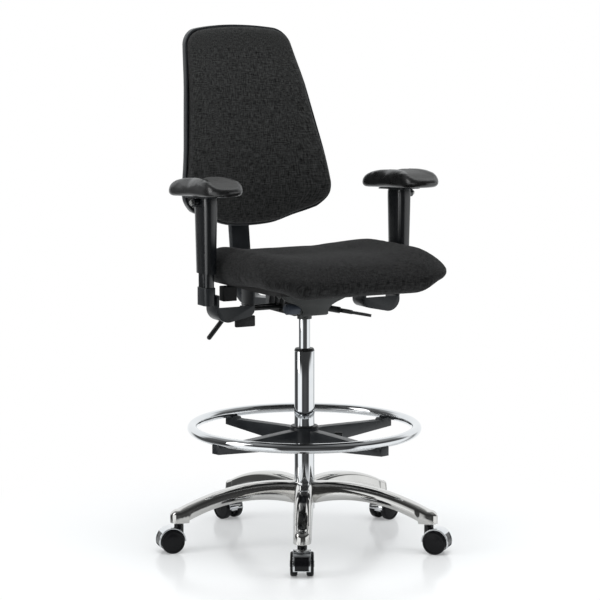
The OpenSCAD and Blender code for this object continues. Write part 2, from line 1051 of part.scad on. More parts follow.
// A band along the bar's path, between an inner and an outer offset
module bar_band(inner, outer, over) {
  facets = 24;
  low = -90 - bar_fall;
  angles = [for (i = [0 : facets]) low + bar_turn * i / facets];
  run = bar_reach / cos(bar_fall) - bar_set + over;
  rise = bar_up - bar_set + over;
  bend = [
    corner_y - bar_set * cos(bar_fall) + bar_bend_r * sin(bar_fall),
    corner_z + bar_set * sin(bar_fall) + bar_bend_r * cos(bar_fall)
  ];
  outer_arc = [for (a = angles) bend + (bar_bend_r + outer) * [cos(a), sin(a)]];
  inner_arc = [for (a = angles) bend + (bar_bend_r - inner) * [cos(a), sin(a)]];
  back = run * [-cos(bar_fall), sin(bar_fall)];
  up = rise * [sin(bar_lean), cos(bar_lean)];
  polygon(concat(
    [outer_arc[0] + back],
    outer_arc,
    [outer_arc[facets] + up, inner_arc[facets] + up],
    [for (i = [facets : -1 : 0]) inner_arc[i]],
    [inner_arc[0] + back]
  ));
}

module back_bar() {
  eye_r = 13;
  color([0.06, 0.08, 0.09])
    on_column()
      difference() {
        union() {
          side_slab(bar_w)
            bar_band(bar_t / 2, bar_flange, 0);
          translate([0, back_pin_y, back_pin_z])
            rod_x(eye_r, -bar_w / 2 - 1, bar_w / 2 + 1);
        }
        difference() {
          side_slab(bar_w - 2 * bar_flange_t)
            bar_band(-bar_t / 2, bar_flange + 1, 1);
          translate([0, back_pin_y, back_pin_z])
            rod_x(eye_r, -bar_w, bar_w);
        }
        translate([0, back_pin_y, back_pin_z])
          rod_x(back_pin_r + run_gap, -bar_w, bar_w);
      }
}

// Moves to the foot of the bar's upright, with Z along the upright
module on_upright() {
  on_column()
    translate([0, corner_y, corner_z])
      rotate([-bar_lean, 0, 0])
        children();
}

// Section of the back between two offsets from its rear face
module spine_section(front, rear) {
  axis_r = spine_y - wrap_axis;
  slope = [sin(back_lean), cos(back_lean)];
  rest = (back_h - spine_top_z + 12) / slope[1];
  low_angle = -asin((spine_z + 6) / spine_r);
  step = (back_lean - low_angle) / 10;
  angles = [for (i = [0 : 10]) low_angle + step * i];
  front_face = [for (a = angles) spine_point(a, spine_r + front, axis_r)];
  rear_face = [for (a = angles) spine_point(a, spine_r + rear, axis_r)];
  polygon(concat(
    front_face,
    [front_face[10] + rest * slope, rear_face[10] + rest * slope],
    [for (i = [10 : -1 : 0]) rear_face[i]]
  ));
}

function spine_point(a, r, axis_r) =
  [axis_r + spine_r - r * cos(a), spine_z + r * sin(a)];

// The back's curved slab, wrapped about an upright axis ahead of it
module spine_slab(front, rear) {
  on_column()
    translate([0, wrap_axis, back_low])
      rotate([0, 0, 55])
        rotate_extrude(angle = 70, $fn = 128)
          spine_section(front, rear);
}

// Front outline of the back, pulled in by an inset
module back_outline(inset) {
  low_x = back_w / 2 - back_low_r;
  high_x = back_top_w / 2 - back_high_r;
  on_column()
    translate([0, 0, back_low])
      front_slab(50, 560)
        intersection() {
          hull()
            for (x = [-1, 1]) {
              translate([x * low_x, back_low_r + 21])
                circle(r = back_low_r - inset);
              translate([x * high_x, back_h - back_high_r])
                circle(r = back_high_r - inset);
              translate([x * back_low_r, back_low_r / 2])
                circle(r = back_low_r / 2);
            }
          translate([0, back_bottom_r])
            circle(r = back_bottom_r - inset, $fn = 128);
        }
}

// Moulded shell with a rim that stands forward round the cushion's edge
module back_shell() {
  color([0.05, 0.05, 0.06])
    difference() {
      intersection() {
        spine_slab(rim_depth, 0);
        back_outline(0);
      }
      intersection() {
        spine_slab(rim_depth + 1, shell_t);
        back_outline(rim_t);
      }
    }
}

module back_cushion() {
  color([0.13, 0.13, 0.14])
    intersection() {
      spine_slab(shell_t + seat_gap + back_pad_t, shell_t + seat_gap);
      back_outline(pad_inset);
    }
}

// Ratchet block that grips the upright and carries the shell
module back_bracket() {
  reach = 62;
  hole_w = bar_w + 2 * slide_gap;
  color([0.05, 0.05, 0.06])
    difference() {
      on_upright()
        difference() {
          union() {
            translate([-bracket_w / 2, -12, bracket_up])
              cube([bracket_w, bracket_t, bracket_h]);
            translate([-bracket_w / 2 + 8, -reach, bracket_up + 12])
              cube([bracket_w - 16, reach, bracket_h - 24]);
          }
          translate([-hole_w / 2, -bar_t / 2 - slide_gap, bracket_up - 5])
            cube([hole_w, bar_flange + bar_t / 2 + 2 * slide_gap, bracket_h + 10]);
        }
      spine_slab(90, 0);
    }
}

// ---- Arms, drawn for the left side ----

// Outline of the bracket's curved strap and web
module bracket_outline(inset) {
  intersection() {
    hull() {
      translate([strap_in + 20, strap_top - 7])
        circle(r = 20 - inset);
      translate([strap_out - 31, strap_low + 31])
        circle(r = 31 - inset);
    }
    translate([strap_in, 0])
      square([strap_out - strap_in, strap_top + 1]);
  }
}

module arm_bracket(side) {
  foot_in = strap_in - strap_foot;
  slot_in = strap_in - strap_bolt - strap_slot;
  color([0.14, 0.17, 0.2])
    on_column()
      hand(side)
        difference() {
          union() {
            front_slab(-strap_w / 2, strap_w / 2)
              difference() {
                bracket_outline(0);
                bracket_outline(strap_t);
                translate([strap_in + strap_t, strap_top])
                  square([strap_out - strap_in - 2 * strap_t, 2]);
              }
            front_slab(-strap_w / 2, -strap_w / 2 + 4)
              intersection() {
                bracket_outline(0);
                translate([0, -20])
                  square([400, strap_top + 20]);
              }
            translate([strap_in, -strap_w / 2, strap_top])
              cube([strap_t, strap_w, pan_z - strap_top]);
            translate([foot_in, -strap_w / 2, pan_z - strap_t])
              cube([strap_in - foot_in + strap_t, strap_w, strap_t]);
            translate([strap_out - strap_t, -strap_w / 2, strap_top])
              cube([strap_t, strap_w, 30]);
            translate([post_x, 0, socket_low])
              linear_extrude(socket_high - socket_low)
                round_rect(post_socket, 11);
          }
          translate([post_x, 0, socket_low + 2])
            linear_extrude(socket_high)
              round_rect(post_in, 9);
          for (y = [-strap_bolt_y, strap_bolt_y])
            translate([0, y, pan_z - strap_t - 1]) {
              translate([slot_in, 0, 0])
                cylinder(r = 3.2, h = strap_t + 2);
              translate([strap_in - strap_bolt, 0, 0])
                cylinder(r = 3.2, h = strap_t + 2);
              translate([slot_in, -3.2, 0])
                cube([strap_slot, 6.4, strap_t + 2]);
            }
        }
}

// Inner tube with its row of height holes
module arm_post(side) {
  color("gainsboro")
    on_column()
      hand(side)
        translate([post_x, 0, 0])
          difference() {
            translate([0, 0, post_bottom])
              linear_extrude(post_top - post_bottom)
                round_rect(post_in, 9);
            translate([0, 0, post_bottom - 1])
              linear_extrude(post_top)
                round_rect(post_in - [4, 4], 7);
            for (i = [0 : 6])
              translate([0, 0, post_top - 14 - 14 * i])
                rod_x(3.5, 0, 30);
          }
}

module arm_sleeve(side) {
  cavity = post_in + 2 * [slide_gap, slide_gap];
  taper = [sleeve_high[0] / sleeve_low[0], sleeve_high[1] / sleeve_low[1]];
  color([0.16, 0.18, 0.2])
    on_column()
      hand(side)
        translate([post_x, 0, 0])
          difference() {
            union() {
              translate([0, 0, sleeve_bottom])
                linear_extrude(sleeve_h - 24, scale = taper, slices = 1)
                  round_rect(sleeve_low, 11);
              translate([0, 0, sleeve_top - 24])
                linear_extrude(24)
                  round_rect(sleeve_high, 12);
              translate([0, 0, button_z])
                rod_x(10, 0, sleeve_high[0] / 2 + 18);
            }
            translate([0, 0, sleeve_bottom - 1])
              linear_extrude(sleeve_h - 7)
                round_rect(cavity, 9 + slide_gap);
            translate([0, 0, button_z])
              rod_x(6.5, 0, 60);
            for (y = [-22, 22])
              translate([0, y, sleeve_top - 7])
                cylinder(r = 2.5, h = 10);
          }
}

// Push button that frees the arm's height catch
module arm_button(side) {
  face = sleeve_high[0] / 2 + 24;
  color("silver")
    on_column()
      hand(side)
        translate([post_x, 0, button_z]) {
          rod_x(6.4, sleeve_high[0] / 2, face - 2);
          rod_x(5, sleeve_high[0] / 2, face);
        }
}

module arm_plate(side) {
  color([0.12, 0.12, 0.13])
    on_column()
      hand(side)
        translate([post_x, 0, sleeve_top])
          difference() {
            linear_extrude(plate_arm_t)
              round_rect([58, 124], 14);
            for (y = [-1, 1])
              translate([0, y * 50, -1])
                cylinder(r = 2.6, h = plate_arm_t + 2);
          }
}

// Plain body of the pad: long round ends, higher at the rear
module arm_pad(side) {
  end_r = pad_w / 2;
  half = pad_len / 2;
  color([0.04, 0.04, 0.04])
    on_column()
      hand(side)
        translate([post_x, 0, pad_z])
          intersection() {
            linear_extrude(60)
              hull()
                for (y = [-1, 1])
                  translate([0, y * (half - end_r)])
                    circle(r = end_r);
            side_slab(pad_w + 10)
              hull() {
                translate([half - 8, 9])
                  circle(r = 8);
                translate([half * 0.5, 21])
                  circle(r = 14);
                translate([-half + 12, 14])
                  circle(r = 12);
                translate([-half * 0.7, 0])
                  square([half * 1.4, 2]);
              }
          }
}

base_star();
column_tube();
column_bush();
thrust_bearing();
piston_rod();
gas_cylinder();
release_pin();
foot_ring();
ring_spider();
ring_screws();
ring_sleeve();
ring_knob();
mech_housing();
pivot_pins();
pivot_cap();
rear_cover();
height_lever();
back_lever();
tilt_lever();
seat_plate();
seat_pan();
seat_cushion();
seat_bolts();
arm_buffers();
back_bar();
back_bracket();
back_shell();
back_cushion();
arm_bracket(1);  // arm_bracket_left
arm_post(1);  // arm_post_left
arm_sleeve(1);  // arm_sleeve_left
arm_button(1);  // arm_button_left
arm_plate(1);  // arm_plate_left
arm_pad(1);  // arm_pad_left
arm_bracket(-1);  // arm_bracket_right
arm_post(-1);  // arm_post_right
arm_sleeve(-1);  // arm_sleeve_right
arm_button(-1);  // arm_button_right
arm_plate(-1);  // arm_plate_right
arm_pad(-1);  // arm_pad_right
caster_hood(0);  // caster_hood_1
caster_pins(0);  // caster_pins_1
caster_wheel(0, -1);  // caster_wheel_1a
caster_wheel(0, 1);  // caster_wheel_1b
caster_hood(1);  // caster_hood_2
caster_pins(1);  // caster_pins_2
caster_wheel(1, -1);  // caster_wheel_2a
caster_wheel(1, 1);  // caster_wheel_2b
caster_hood(2);  // caster_hood_3
caster_pins(2);  // caster_pins_3
caster_wheel(2, -1);  // caster_wheel_3a
caster_wheel(2, 1);  // caster_wheel_3b
caster_hood(3);  // caster_hood_4
caster_pins(3);  // caster_pins_4
caster_wheel(3, -1);  // caster_wheel_4a
caster_wheel(3, 1);  // caster_wheel_4b
caster_hood(4);  // caster_hood_5
caster_pins(4);  // caster_pins_5
caster_wheel(4, -1);  // caster_wheel_5a
caster_wheel(4, 1);  // caster_wheel_5b
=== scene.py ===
import math
import bmesh
import bpy
import numpy as np
from mathutils import Matrix, Vector


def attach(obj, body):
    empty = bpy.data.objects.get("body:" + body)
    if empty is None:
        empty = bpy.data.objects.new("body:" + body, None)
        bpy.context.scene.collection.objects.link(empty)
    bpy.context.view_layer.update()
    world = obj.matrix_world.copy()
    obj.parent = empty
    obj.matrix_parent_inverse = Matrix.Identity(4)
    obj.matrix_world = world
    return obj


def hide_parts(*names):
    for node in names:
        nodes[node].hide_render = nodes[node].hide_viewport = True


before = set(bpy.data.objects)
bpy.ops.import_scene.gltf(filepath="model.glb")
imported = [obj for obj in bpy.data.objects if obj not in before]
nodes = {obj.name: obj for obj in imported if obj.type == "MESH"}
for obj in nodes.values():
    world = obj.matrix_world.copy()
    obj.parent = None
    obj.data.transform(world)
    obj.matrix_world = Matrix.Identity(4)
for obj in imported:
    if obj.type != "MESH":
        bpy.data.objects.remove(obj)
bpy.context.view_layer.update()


# ---- Camera ----
# It stands in front of the chair, a little above its back and to the
# sitter's right, and looks down on it slightly.
camera_data = bpy.data.cameras.new("camera")
camera_data.lens = 145.7
camera_data.clip_end = 100
camera = bpy.data.objects.new("camera", camera_data)
camera.location = (-2.770, -5.193, 1.393)
camera.rotation_euler = (math.radians(82.38), 0, math.radians(-27.97))
bpy.context.scene.collection.objects.link(camera)
bpy.context.scene.camera = camera
bpy.context.scene.view_settings.view_transform = "Standard"


# ---- Room ----
# A white room with tall soft boxes left and right. Bright metal shows the
# soft boxes and the dark front of the room, and the camera sees white.
pure_white = (1, 1, 1, 1)
cool_white = (0.97, 0.99, 1.0)
room_turn = math.radians(118)

# Tones round the room by share of a turn: below eye level, above it, overhead.
tones_below = (
    (0.00, 1.00), (0.09, 0.90), (0.13, 0.10), (0.27, 0.04), (0.29, 1.05), (0.41, 1.05),
    (0.43, 0.05), (0.52, 0.08), (0.635, 0.04), (0.655, 0.95), (0.83, 0.95), (0.87, 0.25),
    (0.91, 0.90), (1.00, 1.00),
)
tones_ahead = (
    (0.00, 0.95), (0.15, 0.90), (0.19, 0.12), (0.30, 0.05), (0.45, 0.04),
    (0.55, 0.04), (0.70, 0.05), (0.81, 0.12), (0.85, 0.90), (1.00, 0.95),
)
tones_above = (
    (0.00, 0.95), (0.06, 0.90), (0.12, 0.30), (0.30, 0.26), (0.42, 0.10),
    (0.58, 0.10), (0.70, 0.26), (0.88, 0.30), (0.94, 0.90), (1.00, 0.95),
)


def feed(tree, socket, value):
    """Set an input to a value, or join it to the output of another node."""
    if isinstance(value, bpy.types.NodeSocket):
        tree.links.new(value, socket)
    else:
        socket.default_value = value


def add_node(tree, kind, **inputs):
    node = tree.nodes.new(kind)
    for name, value in inputs.items():
        feed(tree, node.inputs[name.replace("_", " ")], value)
    return node


def work_out(tree, operation, *values):
    node = tree.nodes.new("ShaderNodeMath")
    node.operation = operation
    for socket, value in zip(node.inputs, values):
        feed(tree, socket, value)
    return node.outputs[0]


def blend(tree, kind, share, first, second):
    """Two colours or numbers, mixed."""
    mix = tree.nodes.new("ShaderNodeMix")
    mix.data_type = kind
    for name, value in (("Factor", share), ("A", first), ("B", second)):
        feed(tree, mix.inputs[name], value)
    return mix.outputs["Result"]


def mix_shaders(tree, share, first, second):
    mix = add_node(tree, "ShaderNodeMixShader", Fac=share)
    tree.links.new(first.outputs[0], mix.inputs[1])
    tree.links.new(second.outputs[0], mix.inputs[2])
    return mix


def soft_step(tree, value, low, high):
    level = add_node(tree, "ShaderNodeMapRange", Value=value, From_Min=low, From_Max=high)
    level.interpolation_type = "SMOOTHSTEP"
    return level.outputs["Result"]


def light_path_any(tree, *rays):
    path = tree.nodes.new("ShaderNodeLightPath")
    total = path.outputs[rays[0]]
    for ray in rays[1:]:
        total = work_out(tree, "MAXIMUM", total, path.outputs[ray])
    return total


def tone_ramp(tree, share, stops):
    ramp = add_node(tree, "ShaderNodeValToRGB", Fac=share)
    steps = ramp.color_ramp.elements
    for at, _ in stops[1:-1]:
        steps.new(at)
    for step, (at, tone) in zip(steps, stops):
        step.position = at
        step.color = (*(tone * tint for tint in cool_white), 1)
    return ramp.outputs["Color"]


def light_room():
    world = bpy.data.worlds.new("room")
    bpy.context.scene.world = world
    world.use_nodes = True
    tree = world.node_tree
    tree.nodes.clear()
    place = tree.nodes.new("ShaderNodeTexCoord")
    front = tree.nodes.new("ShaderNodeVectorRotate")
    front.rotation_type = "Z_AXIS"
    feed(tree, front.inputs["Angle"], room_turn)
    feed(tree, front.inputs["Vector"], place.outputs["Generated"])
    parts = add_node(tree, "ShaderNodeSeparateXYZ", Vector=front.outputs["Vector"])
    turn = work_out(tree, "ARCTAN2", parts.outputs["Y"], parts.outputs["X"])
    share = work_out(tree, "MULTIPLY_ADD", turn, 0.5 / math.pi, 0.5)
    tones = tone_ramp(tree, share, tones_below)
    for low, high, stops in ((0.00, 0.06, tones_ahead), (0.45, 0.68, tones_above)):
        level = soft_step(tree, parts.outputs["Z"], low, high)
        tones = blend(tree, "RGBA", level, tones, tone_ramp(tree, share, stops))
    mirrored = add_node(tree, "ShaderNodeBackground", Color=tones)
    soft = add_node(tree, "ShaderNodeBackground", Color=(0.96, 0.98, 1.0, 1), Strength=0.62)
    seen = add_node(tree, "ShaderNodeBackground", Color=pure_white, Strength=1.0)
    gloss = mix_shaders(tree, light_path_any(tree, "Is Glossy Ray"), soft, mirrored)
    direct = light_path_any(tree, "Is Camera Ray", "Is Transmission Ray")
    view = mix_shaders(tree, direct, gloss, seen)
    add_node(tree, "ShaderNodeOutputWorld", Surface=view.outputs[0])


def add_lamp(name, place, aim, size, power, mirrored=False):
    lamp = bpy.data.lights.new(name, "AREA")
    lamp.shape = "RECTANGLE"
    lamp.size, lamp.size_y = size
    lamp.energy = power
    lamp_object = bpy.data.objects.new(name, lamp)
    lamp_object.location = place
    lamp_object.rotation_euler = (Vector(aim) - Vector(place)).to_track_quat("-Z", "Y").to_euler()
    lamp_object.visible_glossy = mirrored
    bpy.context.scene.collection.objects.link(lamp_object)


light_room()
add_lamp("soft_box_top", (0, -0.6, 3.6), (0, 0, 0.6), (2.4, 2.4), 42)
add_lamp("soft_box_left", (-3.2, 0.4, 1.6), (0, 0, 0.8), (1.2, 2.4), 24, True)
add_lamp("soft_box_right", (2.6, -2.2, 1.5), (0, 0, 0.8), (1.2, 2.4), 20)


# ---- Floor ----
# A pale sheet, lightly glossy under the chair, that fades into the white room
# before its edge. It is small, so that the metal mirrors the room beyond it.
floor_r = 1.7
floor_fade = (0.45, 1.00)
mirrored_fade = (0.38, 0.72)
floor_gloss = 0.18
floor_lift = 0.18


def new_material(name):
    material = bpy.data.materials.new(name)
    material.use_nodes = True
    material.node_tree.nodes.clear()
    return material, material.node_tree


def finish_surface(material, tree, shader):
    add_node(tree, "ShaderNodeOutputMaterial", Surface=shader.outputs[0])
    return material


def floor_surface():
    material, tree = new_material("studio_floor")
    place = tree.nodes.new("ShaderNodeTexCoord")
    length = tree.nodes.new("ShaderNodeVectorMath")
    length.operation = "LENGTH"
    feed(tree, length.inputs[0], place.outputs["Object"])
    away = length.outputs["Value"]
    paint = add_node(tree, "ShaderNodeBsdfDiffuse", Color=(0.90, 0.91, 0.91, 1))
    shine = add_node(tree, "ShaderNodeBsdfGlossy", Color=pure_white, Roughness=0.16)
    glazed = mix_shaders(tree, floor_gloss, paint, shine)
    lift = add_node(tree, "ShaderNodeEmission", Color=pure_white, Strength=floor_lift)
    lifted = tree.nodes.new("ShaderNodeAddShader")
    feed(tree, lifted.inputs[0], glazed.outputs[0])
    feed(tree, lifted.inputs[1], lift.outputs[0])
    white = add_node(tree, "ShaderNodeEmission", Color=pure_white, Strength=1.0)
    seen = mix_shaders(tree, soft_step(tree, away, *floor_fade), lifted, white)
    gone = tree.nodes.new("ShaderNodeBsdfTransparent")
    mirrored = mix_shaders(tree, soft_step(tree, away, *mirrored_fade), glazed, gone)
    in_metal = mix_shaders(tree, light_path_any(tree, "Is Glossy Ray"), paint, mirrored)
    surface = mix_shaders(tree, light_path_any(tree, "Is Camera Ray"), in_metal, seen)
    return finish_surface(material, tree, surface)


bpy.ops.object.select_all(action="DESELECT")
bpy.ops.mesh.primitive_circle_add(vertices=96, radius=floor_r, fill_type="NGON")
floor = bpy.context.object
floor.name = "studio_floor"
floor.data.materials.append(floor_surface())


# ---- Base ----
# The five legs and the hub are one polished aluminium casting. Each leg is
# arched with round shoulders, hollow and ribbed below, and ends in a round
# socket for the stem of its caster.
base_radius = 0.320
base_turn = math.radians(-29)
leg_step = math.radians(72)
leg_start = -0.010
leg_cut = 0.012
leg_crown = 0.160
leg_crown_at = 0.085
leg_drop = 0.0555
leg_under = 0.1195
leg_under_at = 0.130
leg_under_r = 0.350
leg_root_w = 0.054
leg_tip_w = 0.043
leg_round = 0.014
leg_foot_round = 0.003
leg_draft = 0.005
hollow_start = 0.056
hollow_end = 0.296
hollow_half_w = 0.4 * leg_root_w
hollow_rim = 0.002
hollow_depth = 0.019
socket_r = leg_tip_w / 2
socket_start = base_radius - socket_r
socket_step = 0.0005
socket_cuts = (0.302, 0.311)
socket_bottom = 0.0725
socket_fall = 0.016
socket_tip_share = 0.12
same_place = 1e-5


def grain(tree, scale, detail=3):
    place = tree.nodes.new("ShaderNodeTexCoord")
    noise = add_node(
        tree, "ShaderNodeTexNoise", Vector=place.outputs["Object"], Scale=scale, Detail=detail
    )
    return noise.outputs["Fac"]


def vary(tree, source, low, high):
    spread = add_node(
        tree, "ShaderNodeMapRange", Value=source, From_Min=0.3, From_Max=0.7,
        To_Min=low, To_Max=high,
    )
    return spread.outputs["Result"]


def vary_color(tree, source, low, high):
    return blend(tree, "RGBA", vary(tree, source, 0, 1), (*low, 1), (*high, 1))


def metal(name, low, high, rough_low, rough_high, scale):
    material, tree = new_material(name)
    cloud = grain(tree, scale)
    shader = add_node(
        tree, "ShaderNodeBsdfPrincipled", Metallic=1.0,
        Base_Color=vary_color(tree, cloud, low, high),
        Roughness=vary(tree, cloud, rough_low, rough_high),
    )
    return finish_surface(material, tree, shader)


def select_only(*pieces):
    bpy.ops.object.select_all(action="DESELECT")
    for piece in pieces:
        piece.select_set(True)
    bpy.context.view_layer.objects.active = pieces[0]


def start_edit(piece):
    select_only(piece)
    bpy.ops.object.mode_set(mode="EDIT")
    bpy.ops.mesh.select_all(action="SELECT")


def stop_edit():
    bpy.ops.object.mode_set(mode="OBJECT")


def pick(piece, kind, wanted):
    bpy.ops.mesh.select_mode(type=kind)
    bpy.ops.mesh.select_all(action="DESELECT")
    mesh = bmesh.from_edit_mesh(piece.data)
    for part in {"VERT": mesh.verts, "EDGE": mesh.edges, "FACE": mesh.faces}[kind]:
        if wanted(part):
            part.select_set(True)
    mesh.select_flush_mode()
    bmesh.update_edit_mesh(piece.data)


def push(*value):
    bpy.ops.transform.translate(value=value)


def pull_out(*value):
    bpy.ops.mesh.extrude_region_move(TRANSFORM_OT_translate={"value": value})


def inset(border):
    bpy.ops.mesh.inset(thickness=border)


def round_off(offset, segments=2, affect="EDGES"):
    bpy.ops.mesh.bevel(offset=offset, segments=segments, affect=affect)


def close_skin(gap=same_place):
    """Merge doubled points and turn every face outwards."""
    bpy.ops.mesh.select_all(action="SELECT")
    bpy.ops.mesh.remove_doubles(threshold=gap)
    bpy.ops.mesh.normals_make_consistent(inside=False)


def apply_place():
    bpy.ops.object.transform_apply(location=True, rotation=True, scale=True)


def add_plate(width, depth, center, rotation=(0, 0, 0)):
    """A flat plate, the first section of a form that is drawn out of it."""
    bpy.ops.object.select_all(action="DESELECT")
    bpy.ops.mesh.primitive_plane_add(size=1, location=center, rotation=rotation)
    plate = bpy.context.object
    plate.scale = (width, depth, 1)
    apply_place()
    return plate


def join_pieces(*pieces):
    select_only(*pieces)
    bpy.ops.object.join()
    return pieces[0]


def finish_piece(piece, name, smooth=35):
    select_only(piece)
    apply_place()
    bpy.ops.object.shade_smooth_by_angle(angle=math.radians(smooth))
    piece.name = name
    return piece


def coat(piece, *materials):
    piece.data.materials.clear()
    for material in materials:
        piece.data.materials.append(material)


def stand_for(piece, body, *cad_nodes):
    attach(piece, body)
    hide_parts(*cad_nodes)


def leg_section(reach):
    """Width, top and underside of a leg at a distance from the column's axis."""
    past_socket = min(1.0, max(0.0, (reach - base_radius) / socket_r))
    inner = min(reach, base_radius)
    width = leg_root_w + (leg_tip_w - leg_root_w) * inner / base_radius
    top = leg_crown - leg_drop * ((inner - leg_crown_at) / (base_radius - leg_crown_at)) ** 2
    under = leg_under - (reach - leg_under_at) ** 2 / (2 * leg_under_r)
    if reach > socket_start:
        under = socket_bottom
    narrow = math.sqrt(max(0.0, 1 - past_socket**2))
    return width * max(narrow, socket_tip_share), top - socket_fall * (1 - narrow), under


def in_hollow(face, side):
    """Whether a face of the leg's underside lies in the hollow on one side."""
    middle = face.calc_center_median()
    return (
        face.normal.z < -0.7 and len(face.verts) == 4 and face.calc_area() > 4e-5
        and hollow_start < -middle.y < hollow_end and 0 < side * middle.x < hollow_half_w
    )


def model_leg():
    steps = [leg_cut * index for index in range(25)]
    steps += [socket_start - socket_step, socket_start + socket_step, *socket_cuts, base_radius]
    steps += [base_radius + socket_r * math.sin(math.radians(a)) for a in range(15, 91, 15)]
    reach = leg_start
    width, top, under = leg_section(0)
    middle = (top + under) / 2
    leg = add_plate(width, top - under, (0, -reach, middle), (math.pi / 2, 0, 0))
    start_edit(leg)
    pick(leg, "VERT", lambda v: v.co.z > middle)
    bpy.ops.transform.resize(value=(1 - 2 * leg_draft / width, 1, 1))
    round_off(leg_round, 8, "VERTICES")
    pick(leg, "VERT", lambda v: v.co.z < middle and abs(v.co.x) > width / 2 - same_place)
    round_off(leg_foot_round, 2, "VERTICES")
    pick(leg, "EDGE", lambda e: all(v.co.z < under + same_place for v in e.verts))
    bpy.ops.mesh.subdivide(number_cuts=1)
    pick(leg, "FACE", lambda f: True)
    for step in steps:
        pull_out(0, reach - step, 0)
        new_width, new_top, new_under = leg_section(step)
        bpy.ops.transform.resize(
            value=(new_width / width, 1, (new_top - new_under) / (top - under)),
            center_override=(0, -step, (top + under) / 2),
        )
        push(0, 0, (new_top + new_under - top - under) / 2)
        reach, width, top, under = step, new_width, new_top, new_under
    for side in (-1, 1):
        pick(leg, "FACE", lambda f: in_hollow(f, side))
        inset(hollow_rim)
        pull_out(0, 0, hollow_depth)
    for side in (-1, 1):
        bpy.ops.mesh.select_all(action="SELECT")
        bpy.ops.mesh.bisect(
            plane_co=(0, 0, 0),
            plane_no=(side * math.cos(leg_step / 2), math.sin(leg_step / 2), 0),
            clear_outer=True, use_fill=False,
        )
    stop_edit()
    return leg


def model_base():
    legs = [model_leg()]
    for index in range(1, 5):
        select_only(legs[0])
        bpy.ops.object.duplicate()
        legs.append(bpy.context.object)
        legs[index].rotation_euler.z = leg_step * index
    star = join_pieces(*legs)
    start_edit(star)
    close_skin(5 * same_place)
    stop_edit()
    star.rotation_euler.z = base_turn
    return finish_piece(star, "base_casting", 40)


aluminium = metal("polished_aluminium", (0.70, 0.69, 0.67), (0.76, 0.75, 0.73), 0.04, 0.07, 25)
base = model_base()
coat(base, aluminium)
stand_for(base, "base", "base_star")


# ---- Casters ----
# Twin-wheel casters: black nylon wheels under a chromed zinc hood with a dark
# window in its outward face, on a steel stem pressed into the leg's socket.
caster_turn = (0, 0, -6, 7, 0)
caster_trail = 0.020
wheel_r = 0.029
wheel_w = 0.017
wheel_gap = 0.0212
tyre_round = 0.0042
hood_in = wheel_r + 0.0012
hood_out = hood_in + 0.0034
hood_w = 0.042
hood_round = 0.0009
skirt_front = 0.017
skirt_back = 0.029
window_low = 0.018
window_high = 0.051
window_border = 0.0036
window_depth = 0.0012
web_r = wheel_r - 0.003
web_w = 0.020
web_low = 0.0225
boss_r = 0.0115
boss_top = 0.068
boss_rim = 0.0035
boss_round = 0.0012
stem_r = 0.0055
stem_length = 0.060
stem_middle = 0.065
axle_r = 0.004
axle_length = 0.046
axle = Vector((0, -caster_trail, wheel_r))

# Rings of a wheel's outer and inner face, from the rim in: the border, how far
# the face then moves, and whether it moves by a sharp wall.
outer_rings = (
    (0.0016, -0.0012, True), (0.0006, 0, False), (0.0060, 0.0008, False),
    (0.0060, 0.0006, False), (0.0030, 0.0007, True), (0.0008, 0, False),
)
inner_rings = ((0.0035, 0.0060, True), (0.0120, -0.0062, True))


def add_bump(tree, shader, height, distance, strength=1.0):
    bump = add_node(
        tree, "ShaderNodeBump", Height=height, Distance=distance, Strength=strength
    )
    tree.links.new(bump.outputs["Normal"], shader.inputs["Normal"])


def plastic(name, low, high, rough_low, rough_high, scale, bump, gloss=0.5):
    material, tree = new_material(name)
    cloud = grain(tree, 30)
    shader = add_node(
        tree, "ShaderNodeBsdfPrincipled", Specular_IOR_Level=gloss,
        Base_Color=vary_color(tree, cloud, low, high),
        Roughness=vary(tree, cloud, rough_low, rough_high),
    )
    add_bump(tree, shader, grain(tree, scale, 2), bump)
    return finish_surface(material, tree, shader)


def add_cylinder(radius, length, center, vertices=48, across=False):
    """A plain cylinder, upright or lying along X."""
    bpy.ops.object.select_all(action="DESELECT")
    bpy.ops.mesh.primitive_cylinder_add(
        vertices=vertices, radius=radius, depth=length, location=center,
        rotation=(0, math.pi / 2 if across else 0, 0),
    )
    apply_place()
    return bpy.context.object


def caster_place(index):
    return (
        Matrix.Rotation(base_turn + leg_step * index, 4, "Z")
        @ Matrix.Translation((0, -base_radius, 0))
        @ Matrix.Rotation(math.radians(caster_turn[index]), 4, "Z")
    )


def copy_to(piece, name, place, smooth=35):
    select_only(piece)
    bpy.ops.object.duplicate()
    twin = bpy.context.object
    twin.matrix_world = place @ twin.matrix_world
    return finish_piece(twin, name, smooth)


def is_level(edge):
    return abs(edge.verts[0].co.z - edge.verts[1].co.z) < same_place


def in_window(face):
    """Whether a face of the hood is one of those that the window takes."""
    middle = face.calc_center_median()
    out = middle - axle
    return (
        window_low < middle.z < window_high and out.y < 0 and abs(middle.x) < 0.001
        and math.hypot(out.y, out.z) > hood_out - 0.0005
    )


